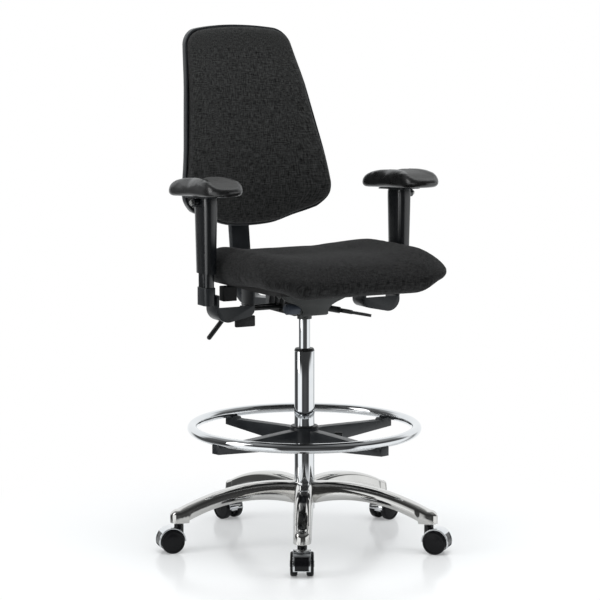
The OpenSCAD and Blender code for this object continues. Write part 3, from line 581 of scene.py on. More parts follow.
def model_hood():
    front = math.asin((wheel_r - skirt_front) / hood_out)
    back = math.asin((wheel_r - skirt_back) / hood_out)
    middle = (hood_out + hood_in) / 2
    hood = add_plate(hood_w, hood_out - hood_in, (0, -caster_trail - middle, wheel_r))
    start_edit(hood)
    round_off(hood_round, 3, "VERTICES")
    mesh = bmesh.from_edit_mesh(hood.data)
    to_skirt = Matrix.Rotation(front, 3, "X")
    bmesh.ops.rotate(mesh, cent=axle, matrix=to_skirt, verts=mesh.verts)
    bmesh.update_edit_mesh(hood.data)
    bpy.ops.mesh.select_all(action="SELECT")
    bpy.ops.mesh.spin(
        steps=44, dupli=False, angle=math.pi + front + back, center=axle, axis=(1, 0, 0)
    )
    close_skin()
    pick(hood, "FACE", in_window)
    inset(window_border)
    bpy.ops.mesh.extrude_region_shrink_fatten(
        TRANSFORM_OT_shrink_fatten={"value": -window_depth}
    )
    pane = {face.index for face in bmesh.from_edit_mesh(hood.data).faces if face.select}
    stop_edit()
    return hood, pane


def model_web():
    web = add_cylinder(web_r, web_w, axle, across=True)
    start_edit(web)
    bpy.ops.mesh.bisect(
        plane_co=(0, 0, web_low), plane_no=(0, 0, -1), clear_outer=True, use_fill=True
    )
    stop_edit()
    return web


def model_boss():
    boss = add_cylinder(boss_r, boss_top - wheel_r, (0, 0, (boss_top + wheel_r) / 2))
    start_edit(boss)
    pick(boss, "FACE", lambda f: f.normal.z > 0.9)
    inset(boss_rim)
    pull_out(0, 0, -0.0012)
    pick(boss, "EDGE", lambda e: all(
        v.co.z > boss_top - same_place and math.hypot(v.co.x, v.co.y) > boss_r - same_place
        for v in e.verts
    ))
    round_off(boss_round, 3)
    stop_edit()
    return boss


def model_caster_hood():
    hood, pane = model_hood()
    web = model_web()
    boss = model_boss()
    for part in (hood, web, boss):
        coat(part, chrome, window_plastic)
    for face in hood.data.polygons:
        face.material_index = 1 if face.index in pane else 0
    for face in boss.data.polygons:
        face.material_index = 1
    return join_pieces(hood, web, boss)


def model_pins():
    stem = add_cylinder(stem_r, stem_length, (0, 0, stem_middle), 32)
    start_edit(stem)
    pick(stem, "EDGE", is_level)
    round_off(0.0008)
    stop_edit()
    axle_pin = add_cylinder(axle_r, axle_length, axle, 32, across=True)
    start_edit(axle_pin)
    pick(axle_pin, "FACE", lambda f: len(f.verts) > 8)
    inset(0.0006)
    stop_edit()
    return join_pieces(stem, axle_pin)


def model_wheel():
    """A wheel whose outer face looks along +X, centred on the axle's line."""
    wheel = add_cylinder(wheel_r, wheel_w, (0, 0, 0), 72, across=True)
    start_edit(wheel)
    pick(wheel, "EDGE", lambda e: abs(e.verts[0].co.x - e.verts[1].co.x) < same_place)
    round_off(tyre_round, 6)
    for side, rings in ((1, outer_rings), (-1, inner_rings)):
        pick(wheel, "FACE", lambda f: side * f.normal.x > 0.99 and len(f.verts) > 8)
        for border, step, by_wall in rings:
            inset(border)
            move = pull_out if by_wall else push
            move(step, 0, 0)
    stop_edit()
    return wheel


chrome = metal("chrome", (0.80, 0.82, 0.84), (0.86, 0.87, 0.88), 0.03, 0.05, 40)
steel = metal("zinc_steel", (0.50, 0.50, 0.49), (0.60, 0.60, 0.58), 0.25, 0.40, 120)
window_plastic = plastic(
    "caster_window", (0.004, 0.004, 0.005), (0.007, 0.007, 0.008), 0.10, 0.16, 700, 0.00003, 0.35
)
wheel_nylon = plastic(
    "wheel_nylon", (0.004, 0.004, 0.005), (0.007, 0.007, 0.008), 0.16, 0.24, 700, 0.00004, 0.25
)
hood_form = model_caster_hood()
pins_form = model_pins()
wheel_form = model_wheel()
for index in range(5):
    number = index + 1
    place = caster_place(index)
    hood = copy_to(hood_form, f"caster_{number}_hood", place)
    stand_for(hood, f"caster_{number}", f"caster_hood_{number}")
    pins = copy_to(pins_form, f"caster_{number}_stem_and_axle", place)
    coat(pins, steel)
    stand_for(pins, f"caster_{number}", f"caster_pins_{number}")
    for letter, side in (("a", -1), ("b", 1)):
        at_wheel = place @ Matrix.Translation(
            axle + Vector((side * (wheel_gap + wheel_w) / 2, 0, 0))
        )
        if side < 0:
            at_wheel = at_wheel @ Matrix.Rotation(math.pi, 4, "Z")
        wheel = copy_to(wheel_form, f"caster_{number}_wheel_{letter}", at_wheel, 30)
        coat(wheel, wheel_nylon)
        stand_for(wheel, f"wheel_{number}{letter}", f"caster_wheel_{number}{letter}")
for form in (hood_form, pins_form, wheel_form):
    bpy.data.objects.remove(form)


# ---- Column ----
# A chromed steel tube stands in the hub. A black nylon bush closes its top
# and guides the chromed cylinder of the gas spring.
column_r = 0.025
column_bore = 0.023
column_low = 0.087
column_high = 0.481
spring_r = 0.014
spring_mouth = 0.0045
spring_low = 0.237
spring_high = 0.625
mouth_depth = 0.020


def model_tube(radius, low, high, mouth):
    tube = add_cylinder(radius, high - low, (0, 0, (high + low) / 2), 96)
    start_edit(tube)
    pick(tube, "FACE", lambda f: f.normal.z > 0.9)
    inset(radius - mouth)
    pull_out(0, 0, -mouth_depth)
    pick(tube, "EDGE", lambda e: is_level(e) and all(
        math.hypot(v.co.x, v.co.y) > radius - same_place for v in e.verts
    ))
    round_off(0.0008, 3)
    stop_edit()
    return tube


def merged_copy(node, name, bevel=0.0005, segments=2, smooth=35):
    """A finished copy of a part: one welded skin with its sharp edges broken."""
    select_only(nodes[node])
    bpy.ops.object.duplicate()
    piece = bpy.context.object
    piece.parent = None
    for key in list(piece.keys()):
        if key.startswith("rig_"):
            del piece[key]
    start_edit(piece)
    bpy.ops.mesh.remove_doubles(threshold=same_place)
    bpy.ops.mesh.dissolve_limited(angle_limit=math.radians(0.5))
    stop_edit()
    edges = piece.modifiers.new("edges", "BEVEL")
    edges.width = bevel
    edges.segments = segments
    edges.limit_method = "ANGLE"
    edges.angle_limit = math.radians(40)
    edges.use_clamp_overlap = True
    bpy.ops.object.modifier_apply(modifier="edges")
    return finish_piece(piece, name, smooth)


def fit_part(node, body, name, material, bevel=0.0005, segments=2, smooth=35):
    """Put a finished copy of a part, in its material, where the part is."""
    piece = merged_copy(node, name, bevel, segments, smooth)
    coat(piece, material)
    stand_for(piece, body, node)


column_chrome = metal("column_chrome", (0.82, 0.84, 0.86), (0.87, 0.88, 0.89), 0.02, 0.035, 40)
bearing_plastic = plastic(
    "bearing_plastic", (0.010, 0.010, 0.010), (0.016, 0.016, 0.016), 0.35, 0.45, 900, 0.00008
)
tube = model_tube(column_r, column_low, column_high, column_bore)
finish_piece(tube, "column_chromed_tube")
coat(tube, column_chrome)
stand_for(tube, "base", "column_tube")
cylinder = model_tube(spring_r, spring_low, spring_high, spring_mouth)
finish_piece(cylinder, "gas_spring_cylinder")
coat(cylinder, column_chrome)
stand_for(cylinder, "lift", "gas_cylinder")
fit_part("column_bush", "base", "column_top_bush", bearing_plastic, 0.0006, 3)
for node in ("thrust_bearing", "piston_rod", "release_pin"):
    coat(nodes[node], steel)


# ---- Foot ring ----
# A bent steel tube, chromed, welded shut, on a black pressed spider of four
# channel arms. Its hub turns on a split nylon sleeve that a knob clamps.
ring_r = 0.276
ring_tube_r = 0.012
ring_z = 0.290


def model_ring():
    bpy.ops.object.select_all(action="DESELECT")
    bpy.ops.mesh.primitive_circle_add(
        vertices=32, radius=ring_tube_r, location=(ring_r, 0, ring_z),
        rotation=(math.pi / 2, 0, 0),
    )
    apply_place()
    ring = bpy.context.object
    start_edit(ring)
    bpy.ops.mesh.spin(
        steps=160, dupli=False, angle=2 * math.pi, center=(0, 0, ring_z), axis=(0, 0, 1)
    )
    close_skin()
    stop_edit()
    return ring


dark_paint = plastic(
    "black_powder_coat", (0.012, 0.014, 0.016), (0.020, 0.023, 0.026), 0.28, 0.38, 900, 0.0001
)
knob_plastic = plastic(
    "black_plastic", (0.008, 0.009, 0.009), (0.014, 0.015, 0.015), 0.32, 0.45, 1500, 0.00012
)
ring = finish_piece(model_ring(), "foot_ring_tube", 60)
coat(ring, column_chrome)
stand_for(ring, "ring", "foot_ring")
fit_part("ring_spider", "ring", "foot_ring_spider", dark_paint, 0.0008)
fit_part("ring_sleeve", "ring_sleeve", "foot_ring_sleeve", bearing_plastic)
fit_part("ring_knob", "ring_knob", "foot_ring_knob", knob_plastic, 0.0008, 3)
coat(nodes["ring_screws"], steel)


# ---- Tilt mechanism ----
# A folded steel housing on the column's taper, with cross shafts for the seat
# plate and the back bar, and a ribbed plastic cover round its rear.
apron_y = -0.0583
apron_t = 0.0036
apron_levels = (
    (0.576, 0.034), (0.584, 0.034), (0.592, 0.038), (0.599, 0.046), (0.605, 0.058),
    (0.610, 0.072), (0.615, 0.084), (0.622, 0.092), (0.640, 0.094),
)


def model_apron():
    """The pressed front plate: narrow below, its sides sweeping out above."""
    height, half = apron_levels[0]
    apron = add_plate(2 * half, apron_t, (0, apron_y, height))
    start_edit(apron)
    for next_height, next_half in apron_levels[1:]:
        pull_out(0, 0, next_height - height)
        bpy.ops.transform.resize(value=(next_half / half, 1, 1))
        height, half = next_height, next_half
    close_skin()
    pick(apron, "EDGE", lambda e: e.is_manifold and e.calc_face_angle() > math.radians(50))
    round_off(0.0008)
    stop_edit()
    return apron


mech_paint = plastic(
    "mechanism_paint", (0.040, 0.043, 0.042), (0.055, 0.058, 0.056), 0.36, 0.48, 900, 0.0001
)
grey_plastic = plastic(
    "grey_plastic", (0.035, 0.045, 0.060), (0.050, 0.060, 0.080), 0.30, 0.42, 800, 0.00008
)
fit_part("mech_housing", "lift", "mechanism_housing", mech_paint, 0.0008)
apron = finish_piece(model_apron(), "mechanism_front_plate")
coat(apron, mech_paint)
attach(apron, "lift")
fit_part("pivot_pins", "lift", "mechanism_shafts", steel, 0.0006)
fit_part("pivot_cap", "lift", "mechanism_shaft_cap", grey_plastic, 0.0010, 3)
fit_part("rear_cover", "lift", "mechanism_rear_cover", knob_plastic, 0.0006)
fit_part("seat_plate", "seat", "mechanism_seat_plate", mech_paint, 0.0007)


# ---- Levers ----
# Three black moulded levers: a round rod for the height, a flat paddle for
# the back and a stepped blade for the seat tilt.
for lever in ("height_lever", "back_lever", "tilt_lever"):
    fit_part(lever, lever, f"{lever}_handle", knob_plastic, 0.0008, 3, 40)


# ---- Seat cushion ----
# Moulded foam on a plywood pan in charcoal plain-weave cloth, pulled tight:
# the sides rise, the front rolls down. It is puffed up as a sewn bag would be.
seat_center = (0.0, -0.075)
seat_seam = 0.690
seat_base = 0.652
seat_wing_out = 0.215
seat_front_fall = 0.006
seat_corner_rise = 0.010
seat_drawn_up = 0.016
seat_hanging = 0.006
seat_rear_rise = 0.008
seat_length = ((-0.315, 0.703), (-0.276, 0.716), (-0.22, 0.726), (-0.13, 0.727),
               (-0.03, 0.722), (0.08, 0.722), (0.165, 0.720))
seat_wings = ((-0.315, 0.000), (-0.276, 0.001), (-0.22, 0.008), (-0.13, 0.015),
              (0.016, 0.020), (0.10, 0.012), (0.165, 0.003))
seat_top_roll = 0.044
seat_under_roll = 0.050
cloth_voxel = 0.006
seat_puff = 0.004
pillow_rings = 14
last_frame = 20
thread = 0.0012
dark_yarn = (0.002, 0.002, 0.002)


def smooth_step(low, high, value):
    share = min(1.0, max(0.0, (value - low) / (high - low)))
    return share * share * (3 - 2 * share)


def both_sides(*circles):
    """Circles of an outline, each with its twin on the other side."""
    return [(side * x, y, r) for x, y, r in circles for side in (1, -1)]


def hull_reach(circles, center, direction):
    """How far the tight line round some circles lies from a point inside it."""
    angles = np.linspace(0, 2 * math.pi, 1440, endpoint=False)
    facing_x, facing_y = np.cos(angles), np.sin(angles)
    support = np.max([x * facing_x + y * facing_y + r for x, y, r in circles], axis=0)
    speed = facing_x * direction[0] + facing_y * direction[1]
    ahead = speed > 1e-3
    gap = support - center[0] * facing_x - center[1] * facing_y
    return float(np.min(gap[ahead] / speed[ahead]))


def face_outwards(piece):
    start_edit(piece)
    bpy.ops.mesh.normals_make_consistent(inside=False)
    stop_edit()


def pillow(name, reach, center, edge, top, under, rolls, place=None, turns=144):
    """A closed round-edged form over a plan line, between two height fields."""
    rows = [math.radians(angle) for angle in range(0, 91, 9)]
    inner = [1 - ring / pillow_rings for ring in range(1, pillow_rings)]
    points, faces, spokes = [], [], []
    for turn in range(turns):
        angle = 2 * math.pi * turn / turns
        along = (math.cos(angle), math.sin(angle))
        far = reach(center, along)
        spokes.append((far * along[0], far * along[1], far))
    for side, roll, field in ((1, rolls[0], top), (-1, rolls[1], under)):
        for row in range(0 if side > 0 else 1, len(rows) + len(inner)):
            for out_x, out_y, far in spokes:
                rim = 1 - roll(out_y) / far
                if row < len(rows):
                    share = rim + (1 - rim) * math.cos(rows[row])
                    lift = math.sin(rows[row])
                else:
                    share, lift = rim * inner[row - len(rows)], 1.0
                x = center[0] + share * out_x
                y = center[1] + share * out_y
                low = edge(center[0] + out_x, center[1] + out_y)
                points.append((x, y, low + (field(x, y) - low) * lift))
        points.append((*center, field(*center)))
    rings = len(rows) + len(inner)
    under_start = rings * turns + 1

    def at(side, row, turn):
        if side > 0 or row == 0:
            return row * turns + turn % turns
        return under_start + (row - 1) * turns + turn % turns

    for side in (1, -1):
        tip = rings * turns if side > 0 else len(points) - 1
        for row in range(rings - 1):
            for turn in range(turns):
                face = [
                    at(side, row, turn), at(side, row, turn + 1),
                    at(side, row + 1, turn + 1), at(side, row + 1, turn),
                ]
                faces.append(face if side > 0 else face[::-1])
        for turn in range(turns):
            face = [at(side, rings - 1, turn), at(side, rings - 1, turn + 1), tip]
            faces.append(face if side > 0 else face[::-1])
    if place:
        points = [place(*point) for point in points]
    mesh = bpy.data.meshes.new(name)
    mesh.from_pydata(points, [], faces)
    piece = bpy.data.objects.new(name, mesh)
    bpy.context.scene.collection.objects.link(piece)
    face_outwards(piece)
    return piece


def point_array(mesh):
    values = np.empty(len(mesh.vertices) * 3)
    mesh.vertices.foreach_get("co", values)
    return values.reshape(-1, 3)


def stuff(piece, cap, held, voxel=cloth_voxel):
    """Blow the cover up a little, no point further than the cap."""
    select_only(piece)
    skin = piece.modifiers.new("skin", "REMESH")
    skin.mode = "VOXEL"
    skin.voxel_size = voxel
    bpy.ops.object.modifier_apply(modifier="skin")
    rest = point_array(piece.data)
    cover = piece.modifiers.new("cover", "CLOTH")
    cover.settings.quality = 5
    cover.settings.mass = 0.3
    cover.settings.tension_stiffness = 15
    cover.settings.compression_stiffness = 15
    cover.settings.bending_stiffness = 0.5
    cover.settings.use_pressure = True
    cover.settings.uniform_pressure_force = 4.0
    cover.settings.effector_weights.gravity = 0
    cover.point_cache.frame_start = 1
    cover.point_cache.frame_end = last_frame
    for frame_number in range(1, last_frame + 1):
        bpy.context.scene.frame_set(frame_number)
    shaped = piece.evaluated_get(bpy.context.evaluated_depsgraph_get())
    blown = point_array(shaped.data) - rest
    piece.modifiers.remove(cover)
    bpy.context.scene.frame_set(1)
    length = np.linalg.norm(blown, axis=1, keepdims=True)
    blown *= np.minimum(1.0, cap / np.maximum(length, 1e-9))
    blown *= held(rest)[:, None]
    piece.data.vertices.foreach_set("co", (rest + blown).ravel())
    piece.data.update()
    relax = piece.modifiers.new("relax", "SMOOTH")
    relax.factor = 0.5
    relax.iterations = 3
    bpy.ops.object.modifier_apply(modifier="relax")
    finer = piece.modifiers.new("finer", "SUBSURF")
    finer.levels = finer.render_levels = 1
    bpy.context.view_layer.objects.active = piece
    bpy.ops.object.modifier_apply(modifier="finer")


def lay_weave(piece, along):
    """Give the cloth its thread directions as the piece's own map."""
    layer = piece.data.uv_layers.new(name="weave")
    corner = np.empty(len(piece.data.loops), dtype=int)
    piece.data.loops.foreach_get("vertex_index", corner)
    layer.data.foreach_set("uv", along(point_array(piece.data))[corner].ravel())
    piece.data.uv_layers.active = layer


def woven(name, light, sheen):
    material, tree = new_material(name)
    chart = tree.nodes.new("ShaderNodeUVMap")
    chart.uv_map = "weave"

    def spread(across, along):
        place = add_node(
            tree, "ShaderNodeMapping", Vector=chart.outputs["UV"], Scale=(across, along, 1)
        )
        return place.outputs["Vector"]

    def streaks(across, along):
        noise = add_node(
            tree, "ShaderNodeTexNoise", Vector=spread(across, along), Scale=1.0,
            Detail=2.5, Roughness=0.7,
        )
        return noise.outputs["Fac"]

    def threads(direction):
        wave = add_node(
            tree, "ShaderNodeTexWave", Vector=spread(0.1 / thread, 0.1 / thread),
            Scale=5 / math.pi, Distortion=0.0,
        )
        wave.bands_direction = direction
        return wave.outputs["Fac"]

    slub = blend(tree, "FLOAT", 0.5, streaks(60, 380), streaks(380, 60))
    fleck = vary(tree, slub, 0.15, 0.85)
    shader = add_node(
        tree, "ShaderNodeBsdfPrincipled", Sheen_Weight=sheen, Sheen_Roughness=0.4,
        Specular_IOR_Level=0.2, Base_Color=vary_color(tree, fleck, dark_yarn, light),
        Roughness=vary(tree, slub, 0.95, 0.85),
    )
    over = add_node(
        tree, "ShaderNodeTexChecker", Vector=spread(1 / thread, 1 / thread), Scale=1.0
    )
    weave = blend(tree, "FLOAT", over.outputs["Fac"], threads("X"), threads("Y"))
    add_bump(tree, shader, weave, 0.00025, 0.7)
    return finish_surface(material, tree, shader)


def read_line(line, at):
    """Height on a smooth curve through the points of a line."""
    places, heights = zip(*line)
    slopes = np.gradient(heights, places)
    index = min(max(int(np.searchsorted(places, at)) - 1, 0), len(line) - 2)
    gap = places[index + 1] - places[index]
    share = min(1.0, max(0.0, (at - places[index]) / gap))
    rise = heights[index + 1] - heights[index]
    bend = (slopes[index] * gap - rise) * (1 - share) + (rise - slopes[index + 1] * gap) * share
    return float(heights[index] + rise * share + share * (1 - share) * bend)


seat_circles = both_sides((0.177, -0.247, 0.072), (0.134, 0.054, 0.108))


def seat_reach(center, direction):
    return hull_reach(seat_circles, center, direction)


def seat_top(x, y):
    wing = smooth_step(0.08, seat_wing_out, abs(x))
    return read_line(seat_length, y) + read_line(seat_wings, y) * wing


def seat_edge(x, y):
    front = smooth_step(-0.20, -0.31, y)
    corner = smooth_step(0.10, 0.235, abs(x))
    return seat_seam - seat_front_fall * front + seat_corner_rise * corner


def seat_under(x, y):
    """Flat on the pan, hanging a little in front of it, drawn up at the corners."""
    wing = smooth_step(0.15, seat_wing_out, abs(x))
    corner = wing * smooth_step(0.02, -0.20, y)
    front = (1 - wing) * smooth_step(-0.24, -0.27, y)
    rear = smooth_step(0.0, 0.165, y)
    return seat_base + seat_drawn_up * corner - seat_hanging * front + seat_rear_rise * rear


def seat_held(points):
    """How far each point is free to swell: not at all where it lies on the pan."""
    return np.clip((points[:, 2] - 0.660) / 0.025, 0.0, 1.0)


def seat_threads(points):
    """Thread directions: flat on top, and running down the sides and ends."""
    x, y, z = points.T
    off_end = y - seat_center[1]
    side = np.clip((np.abs(x) - 0.17) / 0.07, 0, 1) * np.sign(x) * (0.74 - z)
    end = np.clip((np.abs(off_end) - 0.17) / 0.07, 0, 1) * np.sign(off_end) * (0.74 - z)
    return np.column_stack((x + side, y + end))


# Painted shade: the seat's cloth is the back's cloth painted darker, with less sheen, to offset
# the stronger light falling on the seat's top.
seat_cloth_painted_shade = woven("seat_cloth_painted_shade", (0.030, 0.030, 0.030), 0.07)
seat_cushion = pillow(
    "seat_cushion_cover", seat_reach, seat_center, seat_edge, seat_top, seat_under,
    (lambda y: seat_top_roll, lambda y: seat_under_roll),
)
stuff(seat_cushion, seat_puff, seat_held)
lay_weave(seat_cushion, seat_threads)
finish_piece(seat_cushion, "seat_cushion_cover", 180)
coat(seat_cushion, seat_cloth_painted_shade)
stand_for(seat_cushion, "seat", "seat_cushion")
pan_wood = plastic(
    "painted_plywood", (0.008, 0.008, 0.008), (0.013, 0.012, 0.012), 0.55, 0.7, 600, 0.0001
)
coat(nodes["seat_pan"], pan_wood)
coat(nodes["seat_bolts"], steel)
rubber = plastic("rubber", (0.006, 0.006, 0.006), (0.011, 0.011, 0.011), 0.55, 0.7, 900, 0.0001)
fit_part("arm_buffers", "seat", "arm_rubber_buffers", rubber, 0.0015, 3)


# ---- Back cushion ----
# The same cloth over foam, here in its own colour (the seat's copy is painted darker as shade),
# set into the rim of the back's moulded shell. It is lofted on the shell's curve, puffed up, then
# arched with the shell at its top.
back_foot = 0.761
back_high = 0.507
back_center = (0.0, 0.230)
back_inset = 0.007
back_arc = ((0.0, 0.430, 0.430),)
back_arch = 0.70
back_tip = 0.012
back_corner_lift = 0.008
back_seam = 0.021
back_thick = 0.036
back_crown = 0.010
back_puff = 0.003
spine_r = 0.520
spine_z = 0.103
spine_y = 0.315
wrap_y = -0.112
lean = math.radians(12.9)
shell_t = 0.005
shell_gap = 0.0008
back_circles = both_sides(
    (0.127, 0.101, 0.080), (0.108, back_high - 0.042, 0.042), (0.080, 0.040, 0.040)
)


def back_reach(center, direction):
    lines = (back_circles, back_arc)
    return min(hull_reach(line, center, direction) for line in lines) - back_inset


def on_spine(x, height, depth):
    """The place on the bent back of a point on the flat one."""
    straight_from = spine_z + spine_r * math.sin(lean)
    angle = math.asin((min(height, straight_from) - spine_z) / spine_r)
    ring = spine_r - spine_r * math.cos(angle)
    ring += max(0.0, height - straight_from) * math.tan(lean)
    ring += spine_y - wrap_y - depth * math.cos(angle)
    rise = height + depth * math.sin(angle)
    return x, wrap_y + math.sqrt(ring * ring - x * x), back_foot + rise


def back_front(x, y):
    tall = smooth_step(0.0, 0.10, y) * (1 - 0.45 * smooth_step(0.30, 0.50, y))
    return back_thick + back_crown * tall


def settle_back(piece):
    """Arch the top edge and tip it back, and draw the lower corners up."""
    for corner in piece.data.vertices:
        x, y, z = corner.co
        high = smooth_step(1.10, 1.27, z)
        low = smooth_step(0.85, 0.80, z) * smooth_step(0.06, 0.13, abs(x))
        corner.co.z += back_corner_lift * low - x * x / (2 * back_arch) * high
        corner.co.y += back_tip * high


def back_threads(points):
    """Thread directions: flat in front, and running back over the sides and top."""
    x, y, z = points.T
    side = np.clip((np.abs(x) - 0.09) / 0.04, 0, 1) * np.sign(x) * (y - 0.25)
    end = np.clip((z - 1.21) / 0.04, 0, 1) * (y - 0.25)
    return np.column_stack((x + side, z + end))


def back_held(points):
    """How far each point is free to swell: little where the shell holds it."""
    return np.clip((0.46 - points[:, 1]) / 0.01, 0.15, 1.0)


back_cushion = pillow(
    "back_cushion_cover", back_reach, back_center, lambda x, y: back_seam, back_front,
    lambda x, y: shell_t + shell_gap, (lambda y: 0.020, lambda y: 0.006), on_spine,
)
stuff(back_cushion, back_puff, back_held)
settle_back(back_cushion)
back_cloth = woven("back_cloth", (0.049, 0.050, 0.049), 0.12)
lay_weave(back_cushion, back_threads)
finish_piece(back_cushion, "back_cushion_cover", 180)
coat(back_cushion, back_cloth)
stand_for(back_cushion, "backrest", "back_cushion")
shell_plastic = plastic(
    "shell_plastic", (0.020, 0.022, 0.025), (0.028, 0.031, 0.034), 0.30, 0.38, 1200, 0.00010
)
shell = merged_copy("back_shell", "back_moulded_shell", 0.0010, 3, 30)
settle_back(shell)
coat(shell, shell_plastic)
stand_for(shell, "backrest", "back_shell")
fit_part("back_bracket", "backrest", "back_ratchet_block", knob_plastic, 0.0020, 3)
fit_part("back_bar", "back_bar", "back_support_bar", dark_paint, 0.0010, 3)


# ---- Arms ----
# Each arm: a steel tube painted black in a half-moon bracket, a satin sleeve
# moulding with a push button, and a soft moulded pad on a steel plate.
pad_x = 0.268
pad_half_w = 0.0485
pad_end = 0.093
pad_seam = 0.8845
pad_base = 0.8722
pad_side_roll = 0.021
pad_nose_less = 0.012
pad_dish = 0.0035
pad_puff = 0.0012
pad_voxel = 0.004
plate_z = 0.8695
arm_tilt = 0.055
arm_x = 0.266
button_in = arm_x + 0.0247
pad_ridge = (
    (-0.142, 0.898), (-0.125, 0.9015), (-0.112, 0.907), (-0.095, 0.9125), (-0.070, 0.9165),
    (-0.045, 0.918), (-0.010, 0.917), (0.020, 0.9145), (0.050, 0.911), (0.080, 0.905),
    (0.115, 0.896), (0.142, 0.889),
)

# Height, width and depth of the sleeve, from its foot to its rounded top.
sleeve_rows = (
    (0.687, 0.0340, 0.0650), (0.844, 0.0400, 0.0715), (0.860, 0.0400, 0.0715),
    (0.8665, 0.0380, 0.0695), (0.868, 0.0345, 0.0660),
)
sleeve_corner = 3.2
sleeve_wall = 0.003
sleeve_bore = (0.026, 0.049)
sleeve_bore_corner = 5
sleeve_bore_depth = 0.173
sleeve_cap = 0.864
boss_z = 0.857
button_boss = (0.010, 0.012, 0.036, 0.0065)


def pad_roll(y):
    """How round the pad's upper edge is, less so at its nose."""
    return pad_side_roll - pad_nose_less * smooth_step(-0.06, -0.13, y)


def inside_ridge(x, y):
    """How far a place lies inside the ridge round the top of a pad."""
    off_end = y - max(-pad_end, min(pad_end, y))
    return pad_half_w - pad_roll(y) - math.hypot(x - math.copysign(pad_x, x), off_end)


def pad_top(x, y):
    """High in the middle, low at the nose, and dished between its ridges."""
    dish = pad_dish * (1 - math.exp(-max(0.0, inside_ridge(x, y)) / 0.007))
    return read_line(pad_ridge, y) - dish


def pad_edge(x, y):
    return pad_seam - arm_tilt * y


def pad_under(x, y):
    return pad_base - arm_tilt * y


def pad_held(points):
    """How far each point is free to swell: not at all next to the plate."""
    return np.clip((points[:, 2] + arm_tilt * points[:, 1] - 0.876) / 0.008, 0.0, 1.0)


def pad_skin_material():
    """Grained on the panel inside the ridge, smooth and darker round it."""
    material, tree = new_material("pad_skin")
    panel = tree.nodes.new("ShaderNodeAttribute")
    panel.attribute_name = "panel"
    inside = add_node(
        tree, "ShaderNodeMapRange", Value=panel.outputs["Fac"], From_Min=-0.0005, From_Max=0.0015
    ).outputs["Result"]
    cloud = grain(tree, 60)
    wall = vary_color(tree, cloud, (0.006, 0.006, 0.006), (0.010, 0.010, 0.010))
    leather = vary_color(tree, cloud, (0.028, 0.028, 0.027), (0.040, 0.040, 0.038))
    smooth = vary(tree, cloud, 0.26, 0.34)
    dull = vary(tree, cloud, 0.50, 0.60)
    shader = add_node(
        tree, "ShaderNodeBsdfPrincipled", IOR=1.55, Specular_IOR_Level=0.8,
        Base_Color=blend(tree, "RGBA", inside, wall, leather),
        Roughness=blend(tree, "FLOAT", inside, smooth, dull),
    )
    add_bump(tree, shader, grain(tree, 500, 2), 0.0002, inside)
    return finish_surface(material, tree, shader)


def model_pad(side):
    center = (side * pad_x, 0.0)
    ends = ((center[0], -pad_end, pad_half_w), (center[0], pad_end, pad_half_w))

    def reach(start, direction):
        return hull_reach(ends, start, direction)

    pad = pillow(
        "arm_pad", reach, center, pad_edge, pad_top, pad_under,
        (pad_roll, lambda y: 0.018), turns=112,
    )
    stuff(pad, pad_puff, pad_held, pad_voxel)
    panel = pad.data.attributes.new("panel", "FLOAT", "POINT")
    shares = [inside_ridge(c.co.x, c.co.y) if c.co.z > 0.89 else -1 for c in pad.data.vertices]
    panel.data.foreach_set("value", shares)
    return pad


def bulge(piece, width, depth, power):
    """Give the picked ring of points a soft-cornered outline."""
    mesh = bmesh.from_edit_mesh(piece.data)
    for corner in mesh.verts:
        if corner.select:
            x, y = corner.co.x, corner.co.y
            size = (abs(2 * x / width) ** power + abs(2 * y / depth) ** power) ** (1 / power)
            corner.co.x, corner.co.y = x / size, y / size
    bmesh.update_edit_mesh(piece.data)


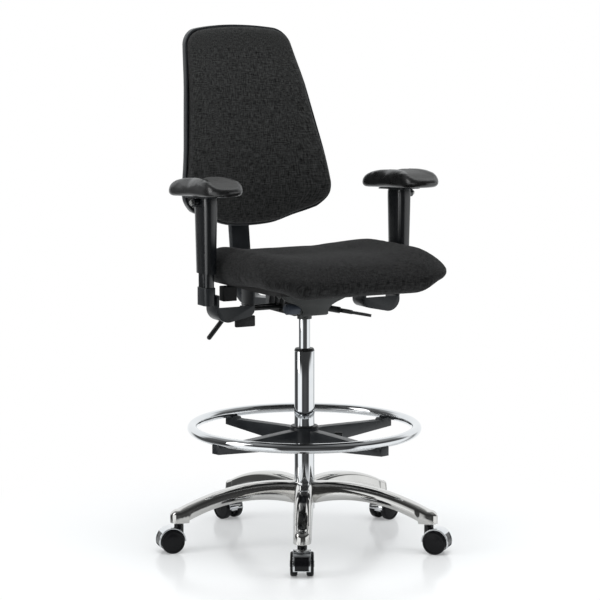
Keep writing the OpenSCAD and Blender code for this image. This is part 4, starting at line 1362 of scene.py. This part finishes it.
def model_sleeve(side):
    """A soft-cornered cover round the post, with a boss for the button."""
    z, width, depth = sleeve_rows[0]
    bpy.ops.object.select_all(action="DESELECT")
    bpy.ops.mesh.primitive_circle_add(
        vertices=96, radius=0.02, fill_type="NGON", location=(side * arm_x, 0, 0)
    )
    sleeve = bpy.context.object
    start_edit(sleeve)
    bpy.ops.transform.resize(value=(1, depth / width, 1))
    bulge(sleeve, width, depth, sleeve_corner)
    push(0, 0, z)
    for new_z, new_width, new_depth in sleeve_rows[1:]:
        pull_out(0, 0, new_z - z)
        bulge(sleeve, new_width, new_depth, sleeve_corner)
        z = new_z
    foot = sleeve_rows[0][0]
    pick(sleeve, "FACE", lambda f: abs(f.calc_center_median().z - foot) < same_place)
    inset(sleeve_wall)
    bulge(sleeve, *sleeve_bore, sleeve_bore_corner)
    pull_out(0, 0, sleeve_bore_depth)
    stop_edit()
    for corner in sleeve.data.vertices:
        if corner.co.z > sleeve_cap:
            corner.co.z -= arm_tilt * corner.co.y
    boss = model_tube(*button_boss)
    boss.rotation_euler.y = side * math.pi / 2
    boss.location = (side * arm_x, 0, boss_z)
    join_pieces(sleeve, boss)
    face_outwards(sleeve)
    return sleeve


pad_skin = pad_skin_material()
satin_black = plastic(
    "satin_black", (0.004, 0.005, 0.006), (0.007, 0.008, 0.010), 0.20, 0.26, 120, 0.00002, 1.0
)
for word, side in (("left", 1), ("right", -1)):
    pad = model_pad(side)
    finish_piece(pad, f"arm_pad_{word}_skin", 180)
    coat(pad, pad_skin)
    stand_for(pad, f"arm_top_{word}", f"arm_pad_{word}")
    sleeve = finish_piece(model_sleeve(side), f"arm_{word}_sleeve")
    coat(sleeve, satin_black)
    stand_for(sleeve, f"arm_top_{word}", f"arm_sleeve_{word}")
    plate = merged_copy(f"arm_plate_{word}", f"arm_{word}_pad_plate")
    plate.rotation_mode = "XYZ"
    plate.rotation_euler.x = -arm_tilt
    plate.location.z = plate_z * (1 - math.cos(arm_tilt))
    plate.location.y = -plate_z * math.sin(arm_tilt)
    finish_piece(plate, f"arm_{word}_pad_plate")
    coat(plate, dark_paint)
    stand_for(plate, f"arm_top_{word}", f"arm_plate_{word}")
    body = f"arm_{word}"
    fit_part(f"arm_post_{word}", body, f"arm_{word}_post", satin_black, 0.0004)
    fit_part(f"arm_bracket_{word}", body, f"arm_{word}_bracket", dark_paint, 0.0012, 3)
    button = merged_copy(f"arm_button_{word}", f"arm_{word}_button")
    for corner in button.data.vertices:
        corner.co.x = side * max(side * corner.co.x, button_in)
    coat(button, steel)
    stand_for(button, f"arm_button_{word}", f"arm_button_{word}")
